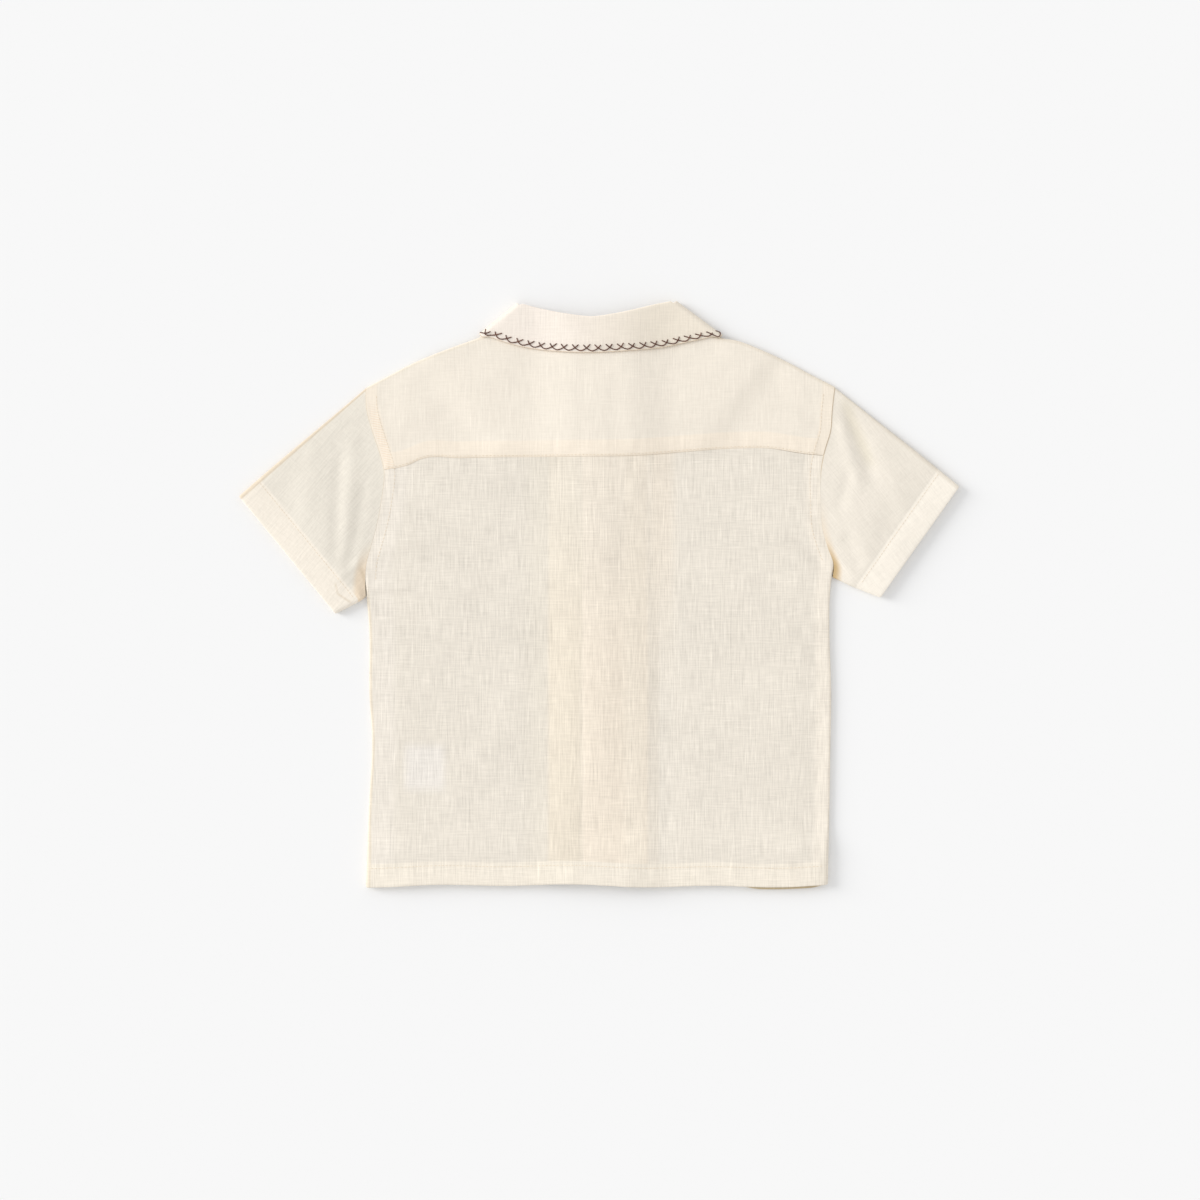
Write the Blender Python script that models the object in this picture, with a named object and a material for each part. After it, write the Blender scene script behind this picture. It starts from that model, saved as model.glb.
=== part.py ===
"""A small child's short-sleeve shirt, laid flat on its front with its back up.

X runs across the shirt, Y from hem to collar, Z up from the table. The wearer's left is at -X.
Sizes are in millimetres, and each piece is turned into metres as it is made.
"""
import math
from collections import namedtuple

import bmesh
import bpy
import numpy as np
from mathutils import Matrix

MM = 0.001
MIDDLE = (0.1, 0.85)

# Cloth and the way that it lies
WALL = 1.0
YOKE_WALL = 1.4
COLLAR_WALL = 1.2
SEAM_GAP = 0.3
LAYER = WALL + SEAM_GAP
FLOOR_LEVEL = WALL / 2
FOLD_RADIUS = 1.15
CUFF_RADIUS = 2.2
TURN_RADIUS = LAYER / 2
PILLOW = 0.6
PILLOW_EDGE_X = 158.0
PILLOW_SIDE = 22.0
PILLOW_TOP = 4.0
PILLOW_SHOULDER = 34.0

# Hems, facings and the front overlap
HEM_Y = -203.4
HEM_DEPTH = 16.5
HEM_WAVE = 1.4
HEM_LONG_WAVE = (-75.0, 150.0)
HEM_SHORT_WAVE = (10.0, 70.0)
CUFF_DEPTH = 19.6
CUFF_REACH = CUFF_DEPTH + 2.0
CENTRE_FRONT_X = -0.7
OVERLAP = 9.8
FACING_WIDTH = 44.0
LAP_START_X = 10.6
LAP_SLOPE = 12.0
LAP_GAP = 0.2
PLACKET_RISE = 3.0
PLACKET_X = 1.5
PLACKET_FLAT = 16.0
PLACKET_SLOPE = 36.0
HEM_RISE = 2.4
HEM_RISE_Y = (-158.0, -181.0)

# Shoulders, yoke and neck
FORWARD_SEAM = 18.0
FRONT_SCOOP = 4.0
UNDERARM_Y = {"left": -1.0, "right": 12.3}
UNDERARM_BLEND = 16.0
UNDERARM_CLEARANCE = 0.4
UNCURL = 14.0
LEAST_TURN = 0.02
SIDE_X = 160.0
SEAM_END_Y = 90.0
ARMHOLE_TOP_Y = 146.2
NECK_POINT = {"left": (-65.1, 189.6), "right": (63.7, 191.6)}

# Buttons, under the front placket
BUTTON_RADIUS = 5.0
BUTTON_THICKNESS = 1.6
BUTTON_EDGE = 0.4
BUTTON_Y = (138.0, 68.0, -2.0, -72.0, -142.0)
BUTTON_LIFT = BUTTON_THICKNESS + SEAM_GAP
BUTTON_FLAT = 5.6
BUTTON_SLOPE = 5.4
BACK_BUTTON_SLOPE = 26.0
STRIP_REACH = 12.0
STRIP_SLOPE = 15.0

# Care label, sewn into the left side seam
LABEL_X = (-146.0, -107.5)
LABEL_Y = (-136.0, -104.5)

Edge = namedtuple("Edge", "y left right")
BODY_EDGES = (
    Edge(150.0, -163.1, 165.4),
    Edge(130.0, -162.4, 163.1),
    Edge(115.0, -158.4, 161.9),
    Edge(102.0, -154.0, 158.0),
    Edge(90.0, -150.6, 155.6),
    Edge(67.0, -152.2, 155.3),
    Edge(45.0, -156.6, 156.8),
    Edge(33.0, -160.0, 160.4),
    Edge(22.0, -162.9, 164.2),
    Edge(10.0, -163.6, 163.0),
    Edge(-1.0, -163.0, 162.0),
    Edge(-21.0, -161.4, 161.7),
    Edge(-72.0, -161.0, 163.0),
    Edge(-100.0, -159.3, 162.5),
    Edge(-146.0, -161.4, 161.8),
    Edge(-206.0, -163.6, 160.4),
)

Seam = namedtuple("Seam", "x y")
YOKE_SEAM = (
    Seam(-150.0, 87.9), Seam(-133.7, 91.4), Seam(-125.0, 95.4), Seam(-96.6, 96.3),
    Seam(-28.0, 97.0), Seam(25.9, 97.9), Seam(62.3, 100.7), Seam(98.0, 103.0),
    Seam(119.0, 102.9), Seam(142.8, 99.3), Seam(156.0, 98.0),
)

Shoulder = namedtuple("Shoulder", "share left right")
SHOULDER_LINE = (
    Shoulder(0.00, 146.0, 146.6), Shoulder(0.16, 154.3, 154.9), Shoulder(0.33, 162.9, 164.1),
    Shoulder(0.50, 169.8, 172.0), Shoulder(0.67, 176.0, 178.6), Shoulder(0.80, 180.6, 181.0),
    Shoulder(1.00, 189.6, 189.0),
)

Neck = namedtuple("Neck", "share seam roll edge")
BACK_NECK = (
    Neck(0.00, 190.3, 205.5, 183.4), Neck(0.16, 185.0, 200.8, 174.6), Neck(0.32, 181.0, 197.2, 170.6),
    Neck(0.48, 179.4, 195.4, 169.8), Neck(0.61, 180.4, 197.4, 171.0), Neck(0.75, 183.6, 200.7, 173.4),
    Neck(0.86, 187.2, 203.8, 177.4), Neck(1.00, 192.3, 206.9, 182.6),
)
SEAM_ENDS_X = (-64.0, 62.6)
ROLL_ENDS_X = (-58.1, 54.6)
EDGE_ENDS_X = (-84.1, 86.6)

COLLAR_POINT_Y = 117.0
Collar = namedtuple("Collar", "seam_x seam_y roll_x roll_y edge_x edge_y")
FRONT_COLLAR = (
    Collar(63.6, 180.0, 50.3, 198.0, 83.3, 169.0),
    Collar(59.4, 167.6, 39.3, 187.5, 77.3, 153.0),
    Collar(45.4, 161.2, 25.8, 176.0, 68.3, 139.0),
    Collar(25.7, 158.2, 12.3, 167.5, 57.8, 127.0),
    Collar(0.6, 157.2, 0.6, 163.5, 46.3, COLLAR_POINT_Y),
)
FrontNeck = namedtuple("FrontNeck", "x y")
FRONT_NECK = (
    FrontNeck(64.4, 171.0), FrontNeck(59.8, 166.6), FrontNeck(45.6, 160.6),
    FrontNeck(25.8, 157.7), FrontNeck(0.0, 156.6),
)
NECK_GAP = 0.7
NECK_SEAM_X = {"left": -70.0, "right": 68.0}
COLLAR_LIFT = COLLAR_WALL + SEAM_GAP
COLLAR_FLOOR = COLLAR_WALL / 2
STAND_TIP_WAY = (0.90, 0.43)
FALL_TIP_WAY = (0.65, 0.76)

# The part of the fronts raised over the turned-down collar, with its slanting side edges
BIB_POINT = (68.0, 108.0)
BIB_SLANT = (0.81, 0.59)
BIB_SLOPE = 20.0

Sleeve = namedtuple("Sleeve", "side cuff_top cuff_bottom")
SLEEVES = (
    Sleeve("left", (-252.6, 69.6), (-184.6, -13.2)),
    Sleeve("right", (252.8, 76.4), (197.2, -1.8)),
)
SLEEVE_PUFF = 1.0

# Where the sections of each piece are taken, as shares of its length, and the steps of each fold
BACK_ARMHOLE = (0.0, 0.25, 0.47, 0.66, 0.82, 0.92, 1.0)
FRONT_ARMHOLE = (0.0, 0.2, 0.4, 0.58, 0.75, 0.9, 1.0)
SIDE_SHARES = (0.03, 0.14, 0.3, 0.46, 0.62, 0.735, 0.81, 0.9, 1.0)
SHOULDER_SHARES = (0.0, 0.14, 0.3, 0.48, 0.66, 0.82, 1.0)
FRONT_SHARES = (0.12, 0.4, 0.7)
FACING_STEP = 7.0
NECK_SHARES = (0.14, 0.32, 0.5, 0.68, 0.86)
YOKE_RISE = (0.0, 0.16, 0.34, 0.52, 0.7, 0.88, 1.0)
YOKE_FRONT = (0.5, 1.0)
YOKE_BLEND = 8.0
SLEEVE_SHARES = (0.0, 0.08, 0.35, 0.65, 1.0)
STATION_GAP = 1.5
COLLAR_SHARES = (0.11, 0.22, 0.34, 0.48, 0.62, 0.76, 0.89)
FOLD_STEPS = 3
ROLL_STEPS = 3
YOKE_FOLD_STEPS = 6

CLOTH_COLOUR = (0.88, 0.80, 0.69)
LABEL_COLOUR = (0.90, 0.90, 0.88)
BUTTON_COLOUR = (0.80, 0.72, 0.58)


def ease(value):
    """Run smoothly from 0 to 1 as value does."""
    value = min(max(value, 0.0), 1.0)
    return value * value * (3.0 - 2.0 * value)


def mix(start, end, share):
    """A value or point some share of the way from start to end."""
    return start + (end - start) * share


def curve(xs, ys, x):
    """Read a smooth curve through a table's points."""
    xs, ys = np.array(xs), np.array(ys)
    if xs[0] > xs[-1]:
        xs, ys = xs[::-1], ys[::-1]
    slopes = np.gradient(ys, xs)
    place = int(np.clip(np.searchsorted(xs, x) - 1, 0, len(xs) - 2))
    span = xs[place + 1] - xs[place]
    share = min(max((x - xs[place]) / span, 0.0), 1.0)
    blend = share * share * (3.0 - 2.0 * share)
    value = mix(ys[place], ys[place + 1], blend)
    value += span * slopes[place] * share * (1.0 - share) ** 2
    return float(value - span * slopes[place + 1] * share * share * (1.0 - share))


def read(table, column, value, key):
    """Read one named column of a table at a value of its key column."""
    return curve([getattr(row, key) for row in table], [getattr(row, column) for row in table], value)


def body_edge(side, y):
    """X of the body's outline, along the armhole and down the side."""
    return read(BODY_EDGES, side, y, "y")


def seam_y(x):
    """Y of the yoke seam across the back."""
    return read(YOKE_SEAM, "y", x, "x")


def shoulder_y(side, x):
    """Y of the shoulder's outline."""
    start = body_edge(side, ARMHOLE_TOP_Y)
    return read(SHOULDER_LINE, side, (x - start) / (NECK_POINT[side][0] - start), "share")


def front_neck_y(x):
    """Y of the neckline of the fronts."""
    return read(FRONT_NECK, "y", abs(x - CENTRE_FRONT_X), "x")


def lift(x, y, button_slope):
    """Height of the fronts above the table, over the turned-down collar and the buttons."""
    below = BIB_POINT[1] - y
    beside = BIB_SLANT[0] * (abs(x) - BIB_POINT[0]) + BIB_SLANT[1] * below
    over_collar = COLLAR_LIFT * ease(1.0 - max(below, beside) / BIB_SLOPE)
    across = 1.0 - (abs(x - CENTRE_FRONT_X) - BUTTON_FLAT) / button_slope
    middle, half = (BUTTON_Y[0] + BUTTON_Y[-1]) / 2, (BUTTON_Y[0] - BUTTON_Y[-1]) / 2
    along = 1.0 - (abs(y - middle) - half - STRIP_REACH) / STRIP_SLOPE
    over_buttons = BUTTON_LIFT * min(max(across, 0.0), 1.0) * ease(along)
    return max(over_collar, over_buttons)


def left_level(x, y):
    """Mid-height of the left front's cloth."""
    return FLOOR_LEVEL + lift(x, y, BUTTON_SLOPE)


def right_level(x, y):
    """Mid-height of the right front's cloth, which laps over the left one's two layers."""
    lap = ease(1.0 - (x - LAP_START_X) / LAP_SLOPE)
    return left_level(x, y) + (2.0 * LAYER + LAP_GAP) * lap


def back_level(x, y):
    """Mid-height of the back's cloth, over everything that lies under it."""
    base = FLOOR_LEVEL + 2.0 * FOLD_RADIUS
    over_placket = PLACKET_RISE * ease(1.0 - (abs(x - PLACKET_X) - PLACKET_FLAT) / PLACKET_SLOPE)
    over_hem = HEM_RISE * ease((HEM_RISE_Y[0] - y) / (HEM_RISE_Y[0] - HEM_RISE_Y[1]))
    side = "left" if x < 0.0 else "right"
    to_shoulder = shoulder_y(side, x) - y
    inside = ease((PILLOW_EDGE_X - abs(x)) / PILLOW_SIDE)
    inside *= ease((to_shoulder - PILLOW_TOP) / PILLOW_SHOULDER)
    return base + lift(x, y, BACK_BUTTON_SLOPE) + over_placket + over_hem + PILLOW * inside


def outward(side):
    """The way along X that leads off the shirt on a side."""
    return -1.0 if side == "left" else 1.0


def material(name, colour, roughness):
    """A plain material for one piece."""
    made = bpy.data.materials.new(name)
    made.use_nodes = True
    shader = made.node_tree.nodes["Principled BSDF"]
    shader.inputs["Base Color"].default_value = (*colour, 1.0)
    shader.inputs["Roughness"].default_value = roughness
    shader.inputs["Metallic"].default_value = 0.0
    return made


def finish(name, bm, colour, roughness):
    """Turn a bmesh into a named object with its own material, about the shirt's middle."""
    bmesh.ops.translate(bm, vec=(-MIDDLE[0] * MM, -MIDDLE[1] * MM, 0.0), verts=bm.verts)
    mesh = bpy.data.meshes.new(name)
    bm.to_mesh(mesh)
    bm.free()
    mesh.materials.append(material(name, colour, roughness))
    mesh.shade_smooth()
    mesh.set_sharp_from_angle(angle=math.radians(40.0))
    made = bpy.data.objects.new(name, mesh)
    bpy.context.collection.objects.link(made)
    return made


def cloth(name, columns, rows, place, wall, left_out=None):
    """Lay a grid of cloth through its sections and give it its wall.

    place(column, row, inset) is a point of the cloth, inset inwards from its middle, and
    left_out(column, row) tells, by count, whether the patch that starts there is cut away.
    """
    bm = bmesh.new()
    across, along = len(columns) - 1, len(rows) - 1
    bmesh.ops.create_grid(bm, x_segments=across, y_segments=along, size=1.0)

    def cell(vert):
        return (round((vert.co.x + 1.0) / 2.0 * across), round((vert.co.y + 1.0) / 2.0 * along))

    if left_out:
        cut = [face for face in bm.faces
               if left_out(min(cell(vert)[0] for vert in face.verts),
                           min(cell(vert)[1] for vert in face.verts))]
        bmesh.ops.delete(bm, geom=cut, context="FACES")
    raised = bmesh.ops.extrude_face_region(bm, geom=bm.faces[:], use_keep_orig=True)
    outer = {item for item in raised["geom"] if isinstance(item, bmesh.types.BMVert)}
    for vert in bm.verts:
        column, row = cell(vert)
        inset = -wall / 2 if vert in outer else wall / 2
        vert.co = [value * MM for value in place(columns[column], rows[row], inset)]
    bmesh.ops.recalc_face_normals(bm, faces=bm.faces)
    if bm.calc_volume(signed=True) < 0.0:
        bmesh.ops.reverse_faces(bm, faces=bm.faces)
    return finish(name, bm, CLOTH_COLOUR, 0.9)


def side_roll(side, y, turn, inset, cut_in):
    """Roll a panel's edge round towards the other panel.

    turn runs from 0, where the roll starts, to 1 at the edge. The edge lies flat along the
    armhole and has made a quarter turn at the side fold. Gives X and the drop from flat.
    """
    out = outward(side)
    quarter = math.pi / 2.0
    radius = (back_level(out * SIDE_X, y) - left_level(out * SIDE_X, y)) / 2.0 - SEAM_GAP / 2.0
    full = max(quarter * ease((UNDERARM_Y[side] + UNCURL - y) / UNCURL), LEAST_TURN)
    reach = mix(SEAM_GAP / 2.0, WALL / 2.0, full / quarter)
    bend = radius * quarter / full
    start = body_edge(side, y) - out * (reach + bend * math.sin(full) + cut_in)
    x = start + out * (bend - inset) * math.sin(full * turn)
    return x, bend - (bend - inset) * math.cos(full * turn)


Row = namedtuple("Row", "stretch share fold band", defaults=(0.0, 0.0))


def panel_rows(armhole_shares):
    """Rows of a body panel: along the armhole, down the side, round the hem's fold and back up."""
    rows = [Row("armhole", share) for share in armhole_shares]
    rows += [Row("side", share) for share in SIDE_SHARES]
    rows += [Row("hem", 1.0, math.pi * (step + 1) / FOLD_STEPS) for step in range(FOLD_STEPS)]
    return rows + [Row("hem", 1.0, math.pi, share) for share in (0.5, 1.0)]


def armhole_ys(top, side, shares):
    """Y of each row where it meets the armhole."""
    return [mix(top, UNDERARM_Y[side], share) for share in shares]


def hem_line(x):
    """Y of the hem's fold start; the body's lower edge is a little wavy."""
    wave = 1.0
    for start, length in (HEM_LONG_WAVE, HEM_SHORT_WAVE):
        wave *= math.sin((x - start) / length * math.pi)
    return HEM_Y - HEM_WAVE * wave + WALL / 2 + TURN_RADIUS


def row_way(top, bottom, side, row):
    """How far down a side's length a row meets it, as a share."""
    if row.stretch == "armhole":
        y = mix(top, UNDERARM_Y[side], row.share)
    else:
        y = mix(UNDERARM_Y[side], bottom, row.share if row.stretch == "side" else 1.0)
    return (y - top) / (bottom - top)


def hem_turn(row, inset, depth=HEM_DEPTH):
    """Shift along the panel and inset of a point of the turned-up hem."""
    if not row.fold:
        return 0.0, inset
    shift = -(TURN_RADIUS - inset) * math.sin(row.fold) + (depth - TURN_RADIUS) * row.band
    return shift, TURN_RADIUS - (TURN_RADIUS - inset) * math.cos(row.fold)


def roll_turns(side):
    """Turns of the sections of a rolled side, in their order across the panel."""
    turns = [(ROLL_STEPS - step) / ROLL_STEPS for step in range(ROLL_STEPS)]
    return turns if side == "left" else turns[::-1]


def seam_end(side):
    """Where the yoke seam meets the armhole."""
    x = body_edge(side, SEAM_END_Y)
    return x, seam_y(x)


Cut = namedtuple("Cut", "seam_x top_x side share")


def yoke_cuts():
    """Sections from the yoke seam up: to the left shoulder, the back neck and the right shoulder."""
    cuts = []
    for side, shares in (("left", SHOULDER_SHARES), ("right", SHOULDER_SHARES[::-1])):
        outer_x = seam_end(side)[0]
        cuts += [Cut(mix(outer_x, NECK_SEAM_X[side], share), 0.0, side, share) for share in shares]
        if side == "left":
            cuts += [Cut(mix(NECK_SEAM_X["left"], NECK_SEAM_X["right"], share),
                         mix(NECK_POINT["left"][0], NECK_POINT["right"][0], share), "", share)
                     for share in NECK_SHARES]
    return cuts


def make_back():
    """The back panel, up to the yoke seam, with its sides rolled and its hem turned up."""
    Column = namedtuple("Column", "share turn side")
    first_x, last_x = seam_end("left")[0], seam_end("right")[0]
    shares = [(cut.seam_x - first_x) / (last_x - first_x) for cut in yoke_cuts()]
    columns = [Column(0.0, turn, "left") for turn in roll_turns("left")]
    columns += [Column(share, 0.0, "") for share in shares]
    columns += [Column(1.0, turn, "right") for turn in roll_turns("right")]
    ends = {side: (seam_end(side)[1] - SEAM_GAP / 2, hem_line(body_edge(side, HEM_Y)))
            for side in ("left", "right")}

    def place(column, row, inset):
        shift, inset = hem_turn(row, inset)
        ways, starts, side_ys = {}, {}, {}
        for side, (top, bottom) in ends.items():
            ways[side] = row_way(top, bottom, side, row)
            side_ys[side] = mix(top, bottom, ways[side]) + shift
            starts[side] = side_roll(side, side_ys[side], 0.0, 0.0, 0.0)[0]
        if column.turn:
            y = side_ys[column.side]
            x, drop = side_roll(column.side, y, column.turn, inset, 0.0)
            return x, y, back_level(starts[column.side], y) - drop
        x = mix(starts["left"], starts["right"], column.share)
        top_x = mix(first_x, last_x, column.share)
        way = mix(ways["left"], ways["right"], column.share)
        y = mix(seam_y(top_x) - SEAM_GAP / 2, hem_line(x), way)
        return x, y + shift, back_level(x, y) - inset

    return cloth("back", columns, panel_rows(BACK_ARMHOLE), place, WALL)


def scoop(side, y):
    """How much further in the hidden front armhole is cut."""
    share = (ARMHOLE_TOP_Y - y) / (ARMHOLE_TOP_Y - UNDERARM_Y[side])
    return FRONT_SCOOP * math.sin(math.pi * min(max(share, 0.0), 1.0)) ** 2


def shoulder_stop(side, share, y):
    """X of a shoulder section where the armhole is met at y on the front, and its top's X and Y."""
    out = outward(side)
    armhole = body_edge(side, ARMHOLE_TOP_Y) - out * SEAM_GAP / 2
    top_x = mix(armhole, NECK_POINT[side][0], share)
    outer = body_edge(side, y) - out * (SEAM_GAP / 2 + scoop(side, y))
    return top_x + (outer - armhole) * (1.0 - share) ** 2, top_x, shoulder_y(side, top_x)


def forward_end(side):
    """Y where the forward shoulder seam meets the armhole."""
    return shoulder_stop(side, 0.0, ARMHOLE_TOP_Y)[2] - FORWARD_SEAM


def front_way(side, row):
    """How far down a front's armhole and side a row meets them, as a share."""
    return row_way(forward_end(side) - SEAM_GAP / 2, hem_line(body_edge(side, HEM_Y)), side, row)


def make_front(side):
    """A front panel, with its facing turned back, its hem turned up and its side rolled."""
    out = outward(side)
    level = left_level if side == "left" else right_level
    fold_x = CENTRE_FRONT_X - out * (OVERLAP - WALL / 2 - TURN_RADIUS)
    facing_x = CENTRE_FRONT_X - out * (OVERLAP - FACING_WIDTH)
    neck_x = NECK_POINT[side][0]
    end_y = forward_end(side)

    Stop = namedtuple("Stop", "x top share roll turn")
    columns = []
    for share in SHOULDER_SHARES:
        x, _, fold_y = shoulder_stop(side, share, end_y)
        columns.append(Stop(x, fold_y - FORWARD_SEAM - SEAM_GAP / 2, 1.0 - share, 0.0, 0.0))
    rolled = [columns[0]._replace(roll=(ROLL_STEPS - step) / ROLL_STEPS) for step in range(ROLL_STEPS)]
    inner = [mix(neck_x, facing_x, share) for share in FRONT_SHARES]
    inner.append(facing_x + out * SEAM_GAP)
    hem_stop = ROLL_STEPS + len(columns) + len(inner) - 1
    lap = [CENTRE_FRONT_X + offset for offset in
           (-BUTTON_FLAT - BUTTON_SLOPE, -BUTTON_FLAT, BUTTON_FLAT)]
    if side == "left":
        lap.insert(0, mix(facing_x, lap[0], 0.5))
    else:
        lap = [facing_x - FACING_STEP, LAP_START_X + LAP_SLOPE / 2, LAP_START_X, lap[2], lap[1]]
    inner += lap + [fold_x]
    columns = rolled + columns + [Stop(x, front_neck_y(x), 0.0, 0.0, 0.0) for x in inner]
    turned = [math.pi * (step + 1) / FOLD_STEPS for step in range(FOLD_STEPS)]
    columns += [Stop(fold_x, front_neck_y(fold_x), 0.0, 0.0, turn) for turn in turned]
    columns += [Stop(x, front_neck_y(x), 0.0, 0.0, math.pi) for x in lap[::-1] + [facing_x]]
    side_top = columns[ROLL_STEPS].top
    side_bottom = hem_line(body_edge(side, HEM_Y))

    def place(column, row, inset):
        facing = column.turn > 0.0
        shift, turned_in = (0.0, inset) if facing else hem_turn(row, inset)
        way = front_way(side, row)
        shared_way = (front_way("left", row) + front_way("right", row)) / 2.0
        side_y = mix(side_top, side_bottom, way) + shift
        cut_in = scoop(side, side_y)
        start = side_roll(side, side_y, 0.0, 0.0, cut_in)[0]
        if column.roll:
            x, drop = side_roll(side, side_y, column.roll, turned_in, cut_in)
            return x, side_y, level(start, side_y) + drop
        x = column.x + (start - columns[ROLL_STEPS].x) * column.share ** 2
        y = mix(column.top, hem_line(x), mix(shared_way, way, column.share))
        if facing:
            radius = TURN_RADIUS - inset
            x -= out * radius * math.sin(column.turn)
            turned_in = TURN_RADIUS - radius * math.cos(column.turn)
        return x, y + shift, level(x, y) + turned_in

    last_side = len(FRONT_ARMHOLE) + len(SIDE_SHARES) - 1

    def left_out(column, row):
        return row >= last_side and column >= hem_stop

    return cloth("front_" + side, columns, panel_rows(FRONT_ARMHOLE), place, WALL, left_out)


def make_yoke():
    """Both shoulders and the back neck, folded over the shoulders to the forward seams."""
    cuts = yoke_cuts()
    Step = namedtuple("Step", "share turn front")
    rows = [Step(share, 0.0, 0.0) for share in YOKE_RISE]
    rows += [Step(1.0, math.pi * (step + 1) / YOKE_FOLD_STEPS, 0.0) for step in range(YOKE_FOLD_STEPS)]
    rows += [Step(1.0, math.pi, share) for share in YOKE_FRONT]
    raised = (YOKE_WALL - WALL) / 2

    def place(cut, step, inset):
        low = seam_y(cut.seam_x) + SEAM_GAP / 2
        if not cut.side:
            top_y = read(BACK_NECK, "seam", cut.share, "share") - NECK_GAP
            x, y = mix(cut.seam_x, cut.top_x, step.share), mix(low, top_y, step.share)
            return x, y, back_level(x, y) + raised - inset
        side, out = cut.side, outward(cut.side)
        _, top_x, fold_y = shoulder_stop(side, cut.share, ARMHOLE_TOP_Y)
        fold_y -= YOKE_WALL / 2
        upper = back_level(top_x, fold_y) + raised
        radius = (upper - left_level(top_x, fold_y) - raised) / 2
        start_y = fold_y - radius
        row_y = mix(seam_end(side)[1], yoke_fold_start(side), step.share)
        if step.turn:
            y = start_y + (radius - inset) * math.sin(step.turn)
            y -= (FORWARD_SEAM - SEAM_GAP / 2 - radius - YOKE_WALL / 2) * step.front
            row_y = y + shoulder_y(side, body_edge(side, ARMHOLE_TOP_Y)) - fold_y - YOKE_WALL / 2
            x = shoulder_stop(side, cut.share, row_y)[0]
            z = upper - radius + (radius - inset) * math.cos(step.turn)
            if step.front:
                z = left_level(x, y) + raised + inset
            return x, y, z
        y = mix(low, start_y, step.share)
        outer = body_edge(side, row_y) - out * SEAM_GAP / 2
        armhole = body_edge(side, ARMHOLE_TOP_Y) - out * SEAM_GAP / 2
        straight = mix(seam_end(side)[0], armhole, step.share)
        x = mix(cut.seam_x, top_x, step.share) + (outer - straight) * (1.0 - cut.share) ** 2
        z = mix(back_level(x, y) + raised, upper, ease(1.0 - (1.0 - step.share) * YOKE_BLEND))
        return x, y, z - inset

    first_neck = len(SHOULDER_SHARES) - 1
    last_neck = first_neck + len(NECK_SHARES)

    def left_out(column, row):
        return first_neck <= column <= last_neck and row >= len(YOKE_RISE) - 1

    return cloth("yoke", cuts, rows, place, YOKE_WALL, left_out)


def yoke_fold_start(side):
    """Y at the armhole where the cloth starts to roll over the shoulder."""
    edge = body_edge(side, ARMHOLE_TOP_Y)
    return shoulder_y(side, edge) - YOKE_WALL / 2 - FOLD_RADIUS


def make_sleeve(sleeve):
    """A sleeve cut in one, rolled into a flat tube and closed along the underarm, with a cuff hem."""
    side, out = sleeve.side, outward(sleeve.side)
    top_y, under_y = yoke_fold_start(side), UNDERARM_Y[side] + FOLD_RADIUS + WALL / 2
    back_top = seam_end(side)[1]
    high = [mix(back_top, top_y, share) for share in YOKE_RISE[::-1]]
    high += armhole_ys(back_top, side, BACK_ARMHOLE)[1:-1]
    low = [top_y] + [mix(top_y, forward_end(side), share) for share in YOKE_FRONT]
    low += armhole_ys(forward_end(side), side, FRONT_ARMHOLE)[1:-1]
    high = [y for y in high if y > under_y + STATION_GAP] + [under_y]
    low = [y for y in low if y > under_y + STATION_GAP] + [under_y]

    Station = namedtuple("Station", "y way up turn")
    quarter = math.pi / 2
    stations = [Station(under_y, 1.0, -1.0, turn) for turn in (0.0, quarter / 2)]
    stations += [Station(y, 0.0, -1.0, quarter) for y in reversed(low)]
    stations += [Station(top_y, -1.0, -1.0, quarter / 2), Station(top_y, -1.0, 1.0, 0.0),
                 Station(top_y, -1.0, 1.0, quarter / 2)]
    stations += [Station(y, 0.0, 1.0, quarter) for y in high]
    stations += [Station(under_y, 1.0, 1.0, turn) for turn in (quarter / 2, 0.0)]
    rows = [Row("tube", share) for share in SLEEVE_SHARES] + [Row("cuff", 0.5), Row("cuff", 1.0)]
    rows += [Row("cuff", 1.0, math.pi * (step + 1) / FOLD_STEPS) for step in range(FOLD_STEPS)]
    rows += [Row("cuff", 1.0, math.pi, share) for share in (0.5, 1.0)]

    cuff_top, cuff_bottom = np.array(sleeve.cuff_top), np.array(sleeve.cuff_bottom)
    cuff_length = float(np.linalg.norm(cuff_bottom - cuff_top))
    cuff_way = (cuff_bottom - cuff_top) / cuff_length
    cuff_tip = CUFF_RADIUS + WALL / 2

    def place(station, row, inset):
        shift, turned_in = hem_turn(row, inset, CUFF_DEPTH)
        y = station.y
        dig = scoop(side, y) if station.up < 0.0 else 0.0
        clear = UNDERARM_CLEARANCE * ease(1.0 - (y - under_y) / UNDERARM_BLEND)
        armhole = np.array((body_edge(side, y) + out * (SEAM_GAP / 2 + clear - dig), y))
        share_down = (top_y - y) / (top_y - under_y)
        cuff = cuff_top + cuff_way * mix(cuff_tip, cuff_length - cuff_tip, share_down)
        along = cuff - armhole
        length = float(np.linalg.norm(along))
        cuff_start = length - CUFF_REACH
        if row.stretch == "tube":
            reach = cuff_start * row.share
        else:
            reach = mix(cuff_start, length - TURN_RADIUS - WALL / 2, row.share) - shift
        share = reach / length
        radius = mix(FOLD_RADIUS, CUFF_RADIUS, ease(reach / cuff_start))
        seam = SEAM_GAP / 2 if station.way > 0.0 else 0.0
        roll = radius - seam - turned_in
        point = armhole + along * share
        if station.way:
            tip_way = mix(np.array((0.0, -station.way)), cuff_way * station.way, share)
            tip_way = tip_way / float(np.linalg.norm(tip_way))
            point = point + tip_way * roll * math.cos(station.turn)
        z = FLOOR_LEVEL + radius + station.up * (seam + roll * math.sin(station.turn))
        if station.up > 0.0 and not station.way:
            z += SLEEVE_PUFF * math.sin(math.pi * share_down) * math.sin(math.pi * min(share, 1.0))
        return point[0], point[1], z

    return cloth("sleeve_" + side, stations, rows, place, WALL)


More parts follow.
